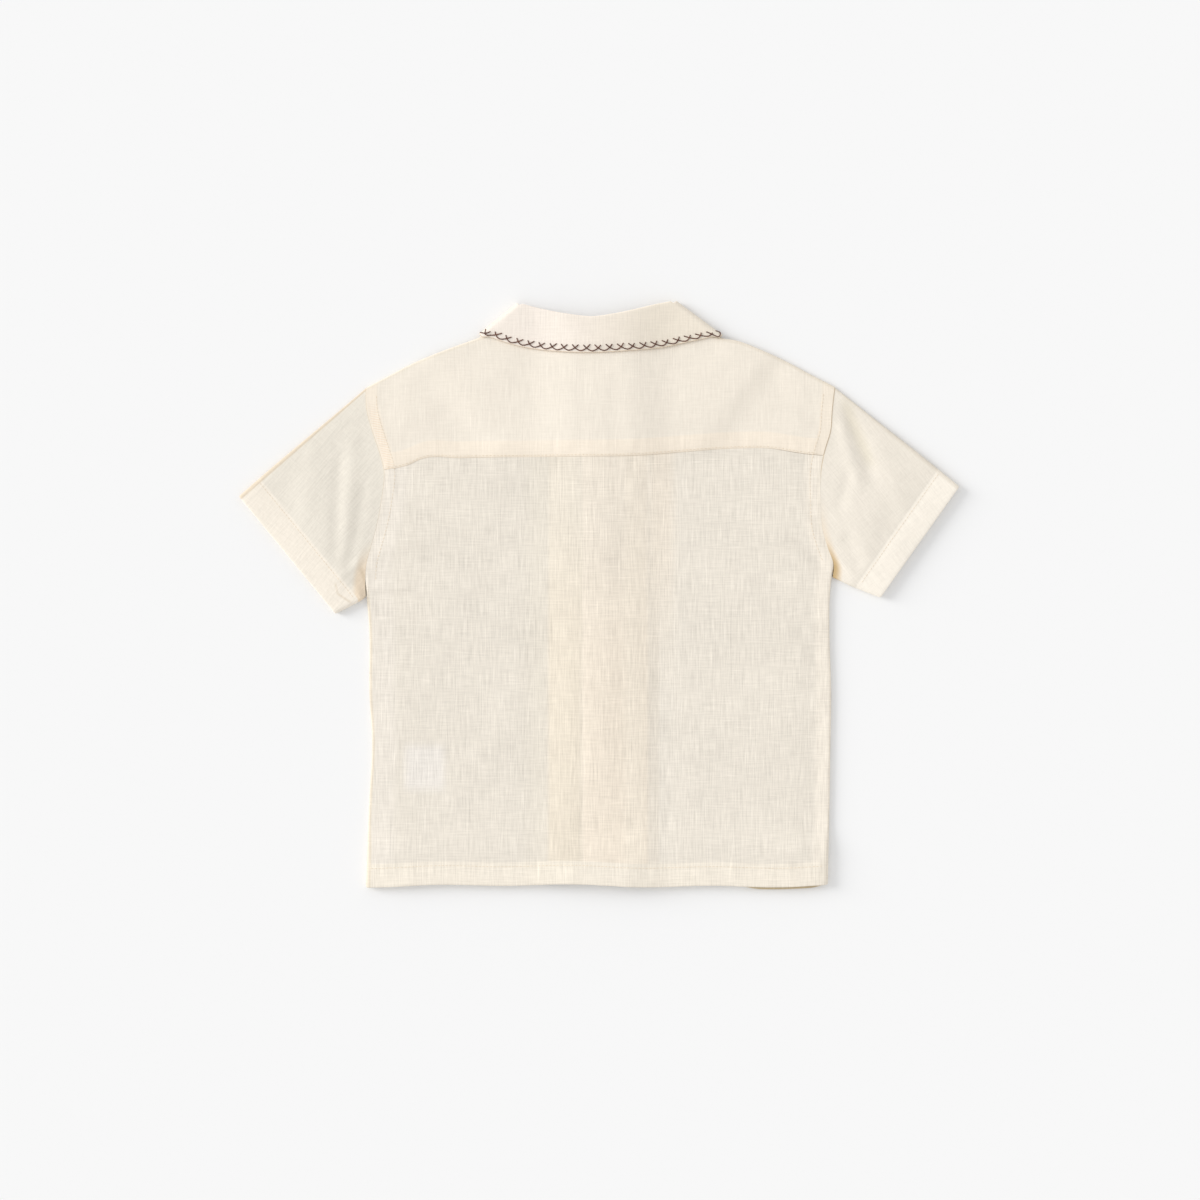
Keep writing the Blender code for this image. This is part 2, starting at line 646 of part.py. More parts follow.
def make_collar():
    """A turned-down collar pressed flat: its stand inside, its fall outside, all round the neck."""
    Line = namedtuple("Line", "part seam roll edge out tip")
    half = COLLAR_WALL / 2
    raised = (COLLAR_WALL - WALL) / 2
    fall_over = WALL / 2 + YOKE_WALL - WALL + SEAM_GAP + half
    names = ("seam", "roll", "edge")
    ends = {"seam": SEAM_ENDS_X, "roll": ROLL_ENDS_X, "edge": EDGE_ENDS_X}

    def back_line(share, part="back", out=0.0, tip=0.0):
        points = [np.array((mix(*ends[name], share), read(BACK_NECK, name, share, "share")))
                  for name in names]
        return Line(part, *points, out, tip)

    lines = []
    for end, out in ((0.0, -1.0), (1.0, 1.0)):
        group = []
        for row in reversed(FRONT_COLLAR):
            points = [np.array((CENTRE_FRONT_X + out * x, y)) for x, y in
                      ((row.seam_x, row.seam_y), (row.roll_x, row.roll_y), (row.edge_x, row.edge_y))]
            group.append(Line("front", *points, out, 0.0))
        group += [back_line(end, "side", out, math.pi * (step - 2) / 4) for step in range(5)]
        if end == 0.0:
            lines += group + [back_line(share) for share in COLLAR_SHARES]
        else:
            lines += group[::-1]

    Across = namedtuple("Across", "stand turn fall")
    rows = [Across(share, 0.0, 0.0) for share in (0.0, 0.5, 1.0)]
    rows += [Across(1.0, math.pi * (step + 1) / 4, 0.0) for step in range(4)]
    rows += [Across(1.0, math.pi, share) for share in (0.33, 0.66, 1.0)]

    def levels(point):
        """The stand's and the fall's mid-heights on the back and on the front."""
        back = back_level(point[0], point[1])
        front = (left_level if point[0] < CENTRE_FRONT_X else right_level)(point[0], point[1])
        return back + raised, back + fall_over, front + raised, COLLAR_FLOOR

    def place(line, row, inset):
        seam, roll, edge = line.seam, line.roll, line.edge
        stand_way = (roll - seam) / float(np.linalg.norm(roll - seam))
        stand_top, fall_top, stand_low, fall_low = levels(roll)
        radii = {"back": (fall_top - stand_top) / 2, "front": (stand_low - fall_low) / 2}
        radius = radii.get(line.part, (radii["back"] + radii["front"]) / 2)
        bend = roll - stand_way * (radius + half)
        tip_reach = mix(stand_top - stand_low, fall_top - fall_low, row.stand) / 2 + half
        if row.turn == 0.0:
            point = mix(seam, bend, row.stand)
        else:
            point = bend + stand_way * (radius - inset) * math.sin(row.turn)
            point = point + (edge - bend) * row.fall
        stand_top, fall_top, stand_low, fall_low = levels(point)
        swing = math.cos(row.turn)
        top_radius, low_radius = (fall_top - stand_top) / 2, (stand_low - fall_low) / 2
        top = stand_top + top_radius - (top_radius - inset) * swing
        low = stand_low - low_radius + (low_radius - inset) * swing
        if line.part == "back":
            return point[0], point[1], top
        if line.part == "front":
            return point[0], point[1], low
        blend = (row.stand + row.fall) / 2.0
        tip_way = mix(np.array(STAND_TIP_WAY), np.array(FALL_TIP_WAY), blend) * (line.out, 1.0)
        tip_radius = (top - low) / 2
        point = point + tip_way * (tip_radius * math.cos(line.tip) - tip_reach)
        return point[0], point[1], low + tip_radius + tip_radius * math.sin(line.tip)

    return cloth("collar", lines, rows, place, COLLAR_WALL)


def make_button(name, y):
    """A flat round button with its rims eased, on the centre front line."""
    bm = bmesh.new()
    middle = Matrix.Translation((CENTRE_FRONT_X * MM, y * MM, BUTTON_THICKNESS / 2 * MM))
    bmesh.ops.create_cone(bm, matrix=middle, cap_ends=True, segments=16, radius1=BUTTON_RADIUS * MM,
                          radius2=BUTTON_RADIUS * MM, depth=BUTTON_THICKNESS * MM)
    rims = [edge for edge in bm.edges if abs(edge.verts[0].co.z - edge.verts[1].co.z) < MM * 0.01]
    bmesh.ops.bevel(bm, geom=rims, offset=BUTTON_EDGE * MM, segments=1, profile=0.5,
                    affect="EDGES", clamp_overlap=True)
    return finish(name, bm, BUTTON_COLOUR, 0.35)


def make_label():
    """The folded care label, lying inside between the back and the left front."""
    bm = bmesh.new()
    bmesh.ops.create_cube(bm, size=1.0)
    length, width = LABEL_X[1] - LABEL_X[0], LABEL_Y[1] - LABEL_Y[0]
    bmesh.ops.scale(bm, vec=(length * MM, width * MM, WALL * MM), verts=bm.verts)
    middle = (sum(LABEL_X) / 2 * MM, sum(LABEL_Y) / 2 * MM, (LAYER + WALL / 2) * MM)
    bmesh.ops.translate(bm, vec=middle, verts=bm.verts)
    return finish("care_label", bm, LABEL_COLOUR, 0.5)


for stale in list(bpy.data.objects):
    bpy.data.objects.remove(stale, do_unlink=True)
make_back()
make_yoke()
make_front("left")
make_front("right")
for sleeve in SLEEVES:
    make_sleeve(sleeve)
make_collar()
for count, button_y in enumerate(BUTTON_Y):
    make_button("button_" + str(count + 1), button_y)
make_label()
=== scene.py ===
"""A small child's short-sleeve shirt of cream slub linen, laid flat on its front on a white table.

X runs across the shirt, Y from hem to collar and Z up. The wearer's left is at -X. Sizes are in
millimetres, and each piece is turned into metres as its mesh is made.
"""
import math
from collections import namedtuple

import bmesh
import bpy
import numpy as np
from mathutils import Matrix, Vector


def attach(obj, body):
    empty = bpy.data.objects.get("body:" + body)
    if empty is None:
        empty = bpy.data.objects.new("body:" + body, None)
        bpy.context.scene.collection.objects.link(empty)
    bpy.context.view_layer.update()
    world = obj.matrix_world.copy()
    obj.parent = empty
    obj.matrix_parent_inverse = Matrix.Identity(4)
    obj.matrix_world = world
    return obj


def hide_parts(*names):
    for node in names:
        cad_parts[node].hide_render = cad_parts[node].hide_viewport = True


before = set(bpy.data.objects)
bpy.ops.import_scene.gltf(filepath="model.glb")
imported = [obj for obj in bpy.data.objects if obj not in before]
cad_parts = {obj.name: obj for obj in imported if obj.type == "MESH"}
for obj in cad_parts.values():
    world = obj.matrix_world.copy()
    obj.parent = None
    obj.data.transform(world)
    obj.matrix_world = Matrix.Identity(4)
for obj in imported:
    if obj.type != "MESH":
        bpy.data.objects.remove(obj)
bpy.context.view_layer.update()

MM = 0.001

# The camera hangs straight over the table, far enough for a plain, nearly flat view.
# It sees 840 mm across, with the shirt a little above and left of the picture's centre.
VIEW_WIDTH = 840.0
LENS = 85.0
SENSOR = 36.0
VIEW_CENTRE = (0.6, -4.0)
OUTLINE_HEIGHT = 4.0


def put(name, data):
    """Stand something in the scene, at the origin."""
    made = bpy.data.objects.new(name, data)
    bpy.context.collection.objects.link(made)
    return made


camera_data = bpy.data.cameras.new("overhead_camera")
camera_data.lens = LENS
camera_data.sensor_width = SENSOR
camera = put("overhead_camera", camera_data)
camera.location = Vector((*VIEW_CENTRE, VIEW_WIDTH * LENS / SENSOR + OUTLINE_HEIGHT)) * MM
bpy.context.scene.camera = camera


# The table is a wide sheet of matt white board. The room is white all round, and one broad
# lamp stands beyond the wearer's left shoulder, so soft shadows fall to the right and below.
TABLE_SIZE = 8.0
TABLE_WHITE = (0.90, 0.90, 0.90, 1.0)
ROOM_LIGHT = 0.802
LAMP_WAY = (-0.95, 0.31, 0.38)
LAMP_SOFTNESS = math.radians(30.0)
LAMP_POWER = 2.12


class Wire:
    """One socket of a material, so that its maths reads as an expression."""

    def __init__(self, tree, socket=None):
        self.tree = tree
        self.socket = socket

    def node(self, kind, settings, inputs, output=0):
        made = self.tree.nodes.new(kind)
        for name, value in settings.items():
            setattr(made, name, value)
        for name, value in inputs.items():
            if isinstance(value, Wire):
                self.tree.links.new(value.socket, made.inputs[name])
            else:
                made.inputs[name].default_value = value
        return Wire(self.tree, made.outputs[output])

    def maths(self, operation, first, second=0.0):
        return self.node("ShaderNodeMath", {"operation": operation}, {0: first, 1: second})

    def __add__(self, other):
        return self.maths("ADD", self, other)

    def __sub__(self, other):
        return self.maths("SUBTRACT", self, other)

    def __rsub__(self, other):
        return self.maths("SUBTRACT", other, self)

    def __mul__(self, other):
        return self.maths("MULTIPLY", self, other)

    __radd__ = __add__
    __rmul__ = __mul__

    def wave(self):
        return self.maths("SINE", self)

    def rise(self, low, high):
        """Run smoothly from 0 to 1 as the value goes from low to high."""
        return self.node("ShaderNodeMapRange", {"interpolation_type": "SMOOTHSTEP"},
                         {"Value": self, "From Min": low, "From Max": high})

    def within(self, low, high, soft):
        """1 between low and high, and 0 outside, with soft ends."""
        return self.rise(low - soft, low + soft) * (1.0 - self.rise(high - soft, high + soft))

    def between(self, first, second):
        """A colour that goes from the first to the second as this goes from 0 to 1."""
        return self.node("ShaderNodeMix", {"data_type": "RGBA"}, {0: self, 6: first, 7: second}, 2)

    def brightened(self, factor):
        return self.node("ShaderNodeVectorMath", {"operation": "SCALE"}, {0: self, "Scale": factor})

    def place(self):
        """The point that is coloured, and its X, Y and Z, in metres."""
        spot = self.node("ShaderNodeTexCoord", {}, {}, "Object")
        return spot, *(self.node("ShaderNodeSeparateXYZ", {}, {0: spot}, axis) for axis in "XYZ")

    def noise(self, scale, detail=2.0, distortion=0.0):
        """Cloudy noise about this point."""
        return self.node("ShaderNodeTexNoise", {}, {"Vector": self, "Scale": scale, "Detail": detail,
                                                    "Distortion": distortion})

    def feed(self, shader, name):
        self.tree.links.new(self.socket, shader.inputs[name])

    def emboss(self, shader, strength, distance):
        """Make this the fine relief of a surface."""
        self.node("ShaderNodeBump", {}, {"Height": self, "Strength": strength,
                                         "Distance": distance}).feed(shader, "Normal")


def shade(red, green, blue):
    """A colour as the eye sees it on white paper, from 0 to 255, as light."""
    lit = [((part / 255.0 + 0.055) / 1.055) ** 2.4 for part in (red, green, blue)]
    return (*lit, 1.0)


def new_material(name, roughness, sheen=0.0):
    """A matt material, with the wire that its patterns start from and its shader."""
    made = bpy.data.materials.new(name)
    made.use_nodes = True
    shader = made.node_tree.nodes["Principled BSDF"]
    shader.inputs["Roughness"].default_value = roughness
    shader.inputs["Sheen Weight"].default_value = sheen
    return made, Wire(made.node_tree), shader


board, _, board_shader = new_material("white_board", 0.95)
board_shader.inputs["Base Color"].default_value = TABLE_WHITE
board_shader.inputs["Specular IOR Level"].default_value = 0.1
bm = bmesh.new()
bmesh.ops.create_grid(bm, x_segments=1, y_segments=1, size=TABLE_SIZE / 2.0)
table_mesh = bpy.data.meshes.new("table_top")
bm.to_mesh(table_mesh)
bm.free()
table_mesh.materials.append(board)
table = put("table_top", table_mesh)

room = bpy.data.worlds.new("white_room")
room.use_nodes = True
room.node_tree.nodes["Background"].inputs["Strength"].default_value = ROOM_LIGHT
room.node_tree.nodes["Background"].inputs["Color"].default_value = (1.0, 1.0, 1.0, 1.0)
bpy.context.scene.world = room
bpy.context.scene.view_settings.view_transform = "Standard"

lamp_data = bpy.data.lights.new("broad_lamp", "SUN")
lamp_data.energy = LAMP_POWER
lamp_data.angle = LAMP_SOFTNESS
lamp = put("broad_lamp", lamp_data)
lamp.rotation_mode = "QUATERNION"
lamp.rotation_quaternion = Vector(LAMP_WAY).to_track_quat("Z", "Y")


# The two fronts lie face down under everything. Each is one piece of linen, turned back at the
# centre for its facing and up at the hem, with its side edge rolled up to meet the back.
MIDDLE = (0.1, 0.85)
WALL = 1.0
CLOTH = 0.5
YOKE_WALL = 1.4
COLLAR_WALL = 1.2
SEAM_GAP = 0.3
CLOSED_SEAM = 0.02
LAYER = WALL + SEAM_GAP
FLOOR_LEVEL = WALL / 2
FOLD_RADIUS = 1.15
TURN_RADIUS = LAYER / 2
PILLOW = 0.6
PILLOW_EDGE_X = 158.0
PILLOW_SIDE = 22.0
PILLOW_TOP = 4.0
PILLOW_SHOULDER = 34.0
HEM_Y = -203.4
HEM_DEPTH = 16.5
HEM_RISE = 2.4
HEM_RISE_Y = (-158.0, -181.0)
HEM_WAVE = 1.4
HEM_LONG_WAVE = (-75.0, 150.0)
HEM_SHORT_WAVE = (10.0, 70.0)
HEM_TURNING = (0.33, 0.67, 1.0)
PEEK = 1.7
PEEK_X = (98.0, 158.0)
PEEK_SLOPES = (14.0, 8.0)
CENTRE_FRONT_X = -0.7
OVERLAP = 9.8
FACING_WIDTH = 44.0
LAP_START_X = 10.6
LAP_SLOPE = 12.0
LAP_GAP = 0.2
PLACKET_RISE = 3.0
PLACKET_X = 1.5
PLACKET_FLAT = 16.0
PLACKET_SLOPE = 36.0
FORWARD_SEAM = 18.0
FRONT_SCOOP = 4.0
UNDERARM_Y = {"left": -1.0, "right": 12.3}
UNCURL = 14.0
LEAST_TURN = 0.02
SIDE_X = 160.0
ARMHOLE_TOP_Y = 146.2
NECK_POINT = {"left": (-65.1, 189.6), "right": (63.7, 191.6)}
COLLAR_LIFT = COLLAR_WALL + SEAM_GAP
BIB_POINT = (68.0, 108.0)
BIB_SLANT = (0.81, 0.59)
BIB_SLOPE = 20.0
BUTTON_Y = (138.0, 68.0, -2.0, -72.0, -142.0)
BUTTON_THICKNESS = 1.6
BUTTON_LIFT = BUTTON_THICKNESS + SEAM_GAP
BUTTON_FLAT = 5.6
BUTTON_SLOPE = 5.4
BACK_BUTTON_SLOPE = 26.0
STRIP_REACH = 12.0
STRIP_SLOPE = 15.0
SIDES = ("left", "right")
MARKS = ("from_side", "from_seam", "from_hem")
FAR = 99.0
SHARP_TURN = math.radians(50.0)
FOLD_STEPS = 6
ROLL_STEPS = 4

Edge = namedtuple("Edge", "y left right")
BODY_EDGES = (
    Edge(150.0, -163.1, 165.4), Edge(130.0, -162.4, 163.1), Edge(115.0, -158.4, 161.9),
    Edge(102.0, -154.0, 158.0), Edge(90.0, -150.6, 155.6), Edge(67.0, -152.2, 155.3),
    Edge(45.0, -156.6, 156.8), Edge(33.0, -160.0, 160.4), Edge(22.0, -162.9, 164.2),
    Edge(10.0, -163.6, 163.0), Edge(-1.0, -163.0, 162.0), Edge(-21.0, -161.4, 161.7),
    Edge(-72.0, -161.0, 163.0), Edge(-100.0, -159.3, 162.5), Edge(-146.0, -161.4, 161.8),
    Edge(-206.0, -163.6, 160.4),
)
Spot = namedtuple("Spot", "x y")
YOKE_SEAM = (
    Spot(-150.0, 87.9), Spot(-133.7, 91.4), Spot(-125.0, 95.4), Spot(-96.6, 96.3),
    Spot(-28.0, 97.0), Spot(25.9, 97.9), Spot(62.3, 100.7), Spot(98.0, 103.0),
    Spot(119.0, 102.9), Spot(142.8, 99.3), Spot(156.0, 98.0),
)
FRONT_NECK = (
    Spot(64.4, 171.0), Spot(59.8, 166.6), Spot(45.6, 160.6), Spot(25.8, 157.7), Spot(0.0, 156.6),
)
Shoulder = namedtuple("Shoulder", "share left right")
SHOULDER_LINE = (
    Shoulder(0.00, 146.0, 146.6), Shoulder(0.16, 154.3, 154.9), Shoulder(0.33, 162.9, 164.1),
    Shoulder(0.50, 169.8, 172.0), Shoulder(0.67, 176.0, 178.6), Shoulder(0.80, 180.6, 181.0),
    Shoulder(1.00, 189.6, 189.0),
)


def ease(value):
    """Run smoothly from 0 to 1 as value does."""
    value = min(max(value, 0.0), 1.0)
    return value * value * (3.0 - 2.0 * value)


def mix(start, end, share):
    return start + (end - start) * share


def line_through(table, key, column):
    """A smooth curve through two named columns of a table."""
    keys = np.array([getattr(row, key) for row in table])
    values = np.array([getattr(row, column) for row in table])
    if keys[0] > keys[-1]:
        keys, values = keys[::-1], values[::-1]
    slopes = np.gradient(values, keys)
    fine = np.linspace(keys[0], keys[-1], 1201)
    place = np.clip(np.searchsorted(keys, fine) - 1, 0, len(keys) - 2)
    span = keys[place + 1] - keys[place]
    share = (fine - keys[place]) / span
    blend = share * share * (3.0 - 2.0 * share)
    heights = values[place] + (values[place + 1] - values[place]) * blend
    heights += span * slopes[place] * share * (1.0 - share) ** 2
    heights -= span * slopes[place + 1] * share * share * (1.0 - share)
    return lambda at: float(np.interp(at, fine, heights))


edge_lines = {side: line_through(BODY_EDGES, "y", side) for side in SIDES}
shoulder_lines = {side: line_through(SHOULDER_LINE, "share", side) for side in SIDES}
seam_y = line_through(YOKE_SEAM, "x", "y")
front_neck_line = line_through(FRONT_NECK, "x", "y")


def body_edge(side, y):
    return edge_lines[side](y)


def shoulder_y(side, x):
    start = body_edge(side, ARMHOLE_TOP_Y)
    return shoulder_lines[side]((x - start) / (NECK_POINT[side][0] - start))


def front_neck_y(x):
    return front_neck_line(abs(x - CENTRE_FRONT_X))


def outward(side):
    return -1.0 if side == "left" else 1.0


def lift(x, y, button_slope):
    """Height of the fronts above the table, over the turned-down collar and the buttons."""
    below = BIB_POINT[1] - y
    beside = BIB_SLANT[0] * (abs(x) - BIB_POINT[0]) + BIB_SLANT[1] * below
    over_collar = COLLAR_LIFT * ease(1.0 - max(below, beside) / BIB_SLOPE)
    across = 1.0 - (abs(x - CENTRE_FRONT_X) - BUTTON_FLAT) / button_slope
    middle, half = (BUTTON_Y[0] + BUTTON_Y[-1]) / 2, (BUTTON_Y[0] - BUTTON_Y[-1]) / 2
    along = 1.0 - (abs(y - middle) - half - STRIP_REACH) / STRIP_SLOPE
    over_buttons = BUTTON_LIFT * min(max(across, 0.0), 1.0) * ease(along)
    return max(over_collar, over_buttons)


def left_level(x, y):
    return FLOOR_LEVEL + lift(x, y, BUTTON_SLOPE)


def right_level(x, y):
    """The right front laps over the left one's two layers."""
    lap = ease(1.0 - (x - LAP_START_X) / LAP_SLOPE)
    return left_level(x, y) + (2.0 * LAYER + LAP_GAP) * lap


front_levels = {"left": left_level, "right": right_level}


def back_level(x, y):
    """The back lies over the fronts, the placket and the turned-up hems."""
    base = FLOOR_LEVEL + 2.0 * FOLD_RADIUS
    over_placket = PLACKET_RISE * ease(1.0 - (abs(x - PLACKET_X) - PLACKET_FLAT) / PLACKET_SLOPE)
    over_hem = HEM_RISE * ease((HEM_RISE_Y[0] - y) / (HEM_RISE_Y[0] - HEM_RISE_Y[1]))
    to_shoulder = shoulder_y("left" if x < 0.0 else "right", x) - y
    inside = (ease((PILLOW_EDGE_X - abs(x)) / PILLOW_SIDE)
              * ease((to_shoulder - PILLOW_TOP) / PILLOW_SHOULDER))
    return base + lift(x, y, BACK_BUTTON_SLOPE) + over_placket + over_hem + PILLOW * inside


def hem_line(x):
    """Y where the hem starts to fold; the shirt's lower edge is a little wavy."""
    long, short = ((x - start) / length for start, length in (HEM_LONG_WAVE, HEM_SHORT_WAVE))
    wave = math.sin(long * math.pi) * math.sin(short * math.pi)
    return HEM_Y - HEM_WAVE * wave + WALL / 2 + TURN_RADIUS


def side_roll(side, y, turn, inset, cut_in):
    """Roll a panel's edge round towards the other panel. Gives X and the drop from flat.

    turn runs from 0, where the roll starts, to 1 at the edge. The edge lies flat along the
    armhole and has made a quarter turn at the side fold.
    """
    out = outward(side)
    quarter = math.pi / 2.0
    radius = (back_level(out * SIDE_X, y) - left_level(out * SIDE_X, y)) / 2.0 - CLOSED_SEAM / 2.0
    full = max(quarter * ease((UNDERARM_Y[side] + UNCURL - y) / UNCURL), LEAST_TURN)
    reach = mix(CLOSED_SEAM / 2.0, WALL / 2.0, full / quarter)
    bend = radius * quarter / full
    start = body_edge(side, y) - out * (reach + bend * math.sin(full) + cut_in)
    x = start + out * (bend - inset) * math.sin(full * turn)
    return x, bend - (bend - inset) * math.cos(full * turn)


def roll_start(side, y, cut_in=0.0):
    """X where a panel's edge starts to roll."""
    return side_roll(side, y, 0.0, 0.0, cut_in)[0]


def roll_turns():
    """Turns of a rolled edge, from the edge in."""
    return [(ROLL_STEPS - part) / ROLL_STEPS for part in range(ROLL_STEPS)]


def half_turn(steps):
    """Angles round a fold, past its start."""
    return [math.pi * (part + 1) / steps for part in range(steps)]


def spread(step, length, stops=(0.0, 1.0)):
    """Fill in a list of shares of a length, so that no gap in it is wider than step."""
    filled = []
    for low, high in zip(stops, stops[1:]):
        count = max(1, math.ceil((high - low) * length / step))
        filled += [mix(low, high, part / count) for part in range(count)]
    return filled + [stops[-1]]


Row = namedtuple("Row", "stretch share fold band", defaults=(0.0, 0.0))


def turned_rows(stretch):
    """Rows round a hem's fold and back up its turning."""
    rows = [Row(stretch, 1.0, turn) for turn in half_turn(FOLD_STEPS)]
    return rows + [Row(stretch, 1.0, math.pi, share) for share in HEM_TURNING]


def panel_rows(armhole, step):
    """Rows along the armhole, down the side and round the hem."""
    rows = [Row("armhole", share) for share in spread(step, armhole)]
    rows += [Row("side", share) for share in spread(step, 200.0, (0.01, 0.77, 0.9, 1.0))]
    return rows + turned_rows("hem")


def row_way(top, bottom, side, row):
    """How far down a side's length a row meets it, as a share."""
    if row.stretch == "armhole":
        y = mix(top, UNDERARM_Y[side], row.share)
    else:
        y = mix(UNDERARM_Y[side], bottom, row.share if row.stretch == "side" else 1.0)
    return (y - top) / (bottom - top)


def hem_turn(row, inset, depth=HEM_DEPTH):
    """Shift along the panel and inset of a point of a turned-up hem."""
    if not row.fold:
        return 0.0, inset
    shift = -(TURN_RADIUS - inset) * math.sin(row.fold) + (depth - TURN_RADIUS) * row.band
    return shift, TURN_RADIUS - (TURN_RADIUS - inset) * math.cos(row.fold)


def scoop(side, y):
    """How much further in the hidden front armhole is cut."""
    share = (ARMHOLE_TOP_Y - y) / (ARMHOLE_TOP_Y - UNDERARM_Y[side])
    return FRONT_SCOOP * math.sin(math.pi * min(max(share, 0.0), 1.0)) ** 2


def shoulder_stop(side, share, y):
    """X of a shoulder section where the armhole is met at y on the front, and its top's X and Y."""
    out = outward(side)
    armhole = body_edge(side, ARMHOLE_TOP_Y) - out * CLOSED_SEAM / 2
    top_x = mix(armhole, NECK_POINT[side][0], share)
    outer = body_edge(side, y) - out * (CLOSED_SEAM / 2 + scoop(side, y))
    return top_x + (outer - armhole) * (1.0 - share) ** 2, top_x, shoulder_y(side, top_x)


def forward_end(side):
    """Y where the forward shoulder seam meets the armhole."""
    return shoulder_stop(side, 0.0, ARMHOLE_TOP_Y)[2] - FORWARD_SEAM


def front_way(side, row):
    return row_way(forward_end(side) - CLOSED_SEAM / 2, hem_line(body_edge(side, HEM_Y)), side, row)


At = namedtuple("At", "x y side seam hem")


def linen(name, ground, tints, grain=0.0, crinkle=0.04, weave=1.0):
    """Cream slub linen: a plain weave of uneven threads, with thicker ones here and there.

    tints(at) lists masks and the colours that they bring, with at holding the pattern's wires.
    grain is the angle of the warp threads from the shirt's length, crinkle how rumpled the cloth
    is, with painted shade in its hollows, and weave how strongly its threads stand out.
    """
    made, wire, shader = new_material(name, 0.9, 0.12)
    _, x, y, _ = wire.place()
    x, y = x * 1000.0 + MIDDLE[0], y * 1000.0 + MIDDLE[1]
    marks = (wire.node("ShaderNodeAttribute", {"attribute_name": mark}, {}, "Fac") for mark in MARKS)
    across = x * math.cos(grain) + y * math.sin(grain)
    along = y * math.cos(grain) - x * math.sin(grain)

    def streaks(u, v, seed):
        return wire.node("ShaderNodeCombineXYZ", {}, {0: across * u, 1: along * v, 2: seed}).noise(1.0)

    warp = streaks(1.10, 0.06, 3.0)
    weft = streaks(0.07, 1.00, 11.0)
    warp_slub = streaks(0.8, 0.030, 23.0).rise(0.60, 0.70)
    weft_slub = streaks(0.035, 0.75, 31.0).rise(0.61, 0.71)
    warp_thin = streaks(0.60, 0.015, 41.0).rise(0.58, 0.72)
    cloudy = streaks(0.03, 0.022, 53.0)
    mottled = streaks(0.14, 0.10, 61.0)
    crinkled = streaks(0.60, 0.38, 71.0)
    # The crinkle term brightens the wrinkles' crests and darkens their hollows: painted shade.
    threads = ((warp - 0.5) * 0.27 + (weft - 0.5) * 0.16) * weave + (crinkled - 0.5) * crinkle
    slubs = (warp_slub * 0.060 + weft_slub * 0.040 - warp_thin * 0.050) * weave
    tone = threads + slubs + (cloudy - 0.5) * 0.09 + (mottled - 0.5) * 0.04 + 1.0

    colour = ground
    for mask, tint in tints(At(x, y, *marks)):
        colour = mask.between(colour, tint)
    colour.brightened(tone).feed(shader, "Base Color")

    plain_weave = (across * (2.0 * math.pi / 0.62)).wave() * (along * (2.0 * math.pi / 0.66)).wave()
    height = plain_weave * 0.08 + warp * 0.4 + weft * 0.3 + warp_slub * 0.3 + weft_slub * 0.25
    (height + crinkled * (crinkle * 8.0)).emboss(shader, 0.6, 0.00025)
    return made


def show(name, bm, material, node=None):
    """Make a finished mesh a piece of the shirt, about its middle, in place of its solid."""
    bmesh.ops.translate(bm, vec=(-MIDDLE[0] * MM, -MIDDLE[1] * MM, 0.0), verts=bm.verts)
    mesh = bpy.data.meshes.new(name)
    bm.to_mesh(mesh)
    bm.free()
    mesh.materials.append(material)
    mesh.shade_smooth()
    mesh.set_sharp_from_angle(angle=SHARP_TURN)
    made = put(name, mesh)
    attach(made, "root")
    if node:
        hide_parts(node)
    return made


def cloth(name, node, columns, rows, place, wall, material, left_out=None):
    """Lay a grid of cloth through its sections and give it its thickness.

    place(column, row, inset) gives a point of the cloth, inset inwards from its middle, and its
    distances from the side, the seam and the hem. left_out(column, row) tells, by count, whether
    the patch that starts there is cut away.
    """
    bm = bmesh.new()
    layers = [bm.verts.layers.float.new(mark) for mark in MARKS]
    across, along = len(columns) - 1, len(rows) - 1
    bmesh.ops.create_grid(bm, x_segments=across, y_segments=along, size=1.0)

    def cell(vert):
        return round((vert.co.x + 1.0) / 2.0 * across), round((vert.co.y + 1.0) / 2.0 * along)

    if left_out:
        cut = [face for face in bm.faces
               if left_out(*(min(cell(vert)[axis] for vert in face.verts) for axis in (0, 1)))]
        bmesh.ops.delete(bm, geom=cut, context="FACES")
    raised = bmesh.ops.extrude_face_region(bm, geom=bm.faces[:], use_keep_orig=True)
    outer = {item for item in raised["geom"] if isinstance(item, bmesh.types.BMVert)}
    for vert in bm.verts:
        column, row = cell(vert)
        inset = -wall / 2 if vert in outer else wall / 2
        point, marks = place(columns[column], rows[row], inset)
        vert.co = [value * MM for value in point]
        for layer, mark in zip(layers, marks):
            vert[layer] = mark
    bmesh.ops.recalc_face_normals(bm, faces=bm.faces)
    if bm.calc_volume(signed=True) < 0.0:
        bmesh.ops.reverse_faces(bm, faces=bm.faces)
    made = show(name, bm, material, node)
    return made


FRONT_LINEN = shade(235, 227, 213)
HEM_LINEN = shade(241, 232, 217)
# Painted shade along folded and rolled edges, where the cloth turns away from the light.
FOLD_PAINTED_SHADE = shade(226, 214, 194)
# Painted shade: the strip of front hem that peeks out below the back's hem lies in its shadow.
PEEK_PAINTED_SHADE = shade(196, 174, 132)
front_linen = linen("front_linen", FRONT_LINEN, lambda at: [
    (at.hem.within(-4.0, 16.0, 0.5), HEM_LINEN),
    # Painted shadow on the front's hem where it peeks out below the back's.
    (at.hem.rise(0.6, -0.6) * at.x.within(102.0, 156.0, 5.0) * 0.85, PEEK_PAINTED_SHADE),
])
Stop = namedtuple("Stop", "x top share roll turn", defaults=(0.0, 0.0, 0.0))


def peek(x, way):
    """How far the front's hem hangs out under the back's, near the wearer's right side."""
    from_left, from_right = (x - PEEK_X[0]) / PEEK_SLOPES[0], (PEEK_X[1] - x) / PEEK_SLOPES[1]
    return PEEK * ease(from_left) * ease(from_right) * ease(way * 12.0 - 11.0)


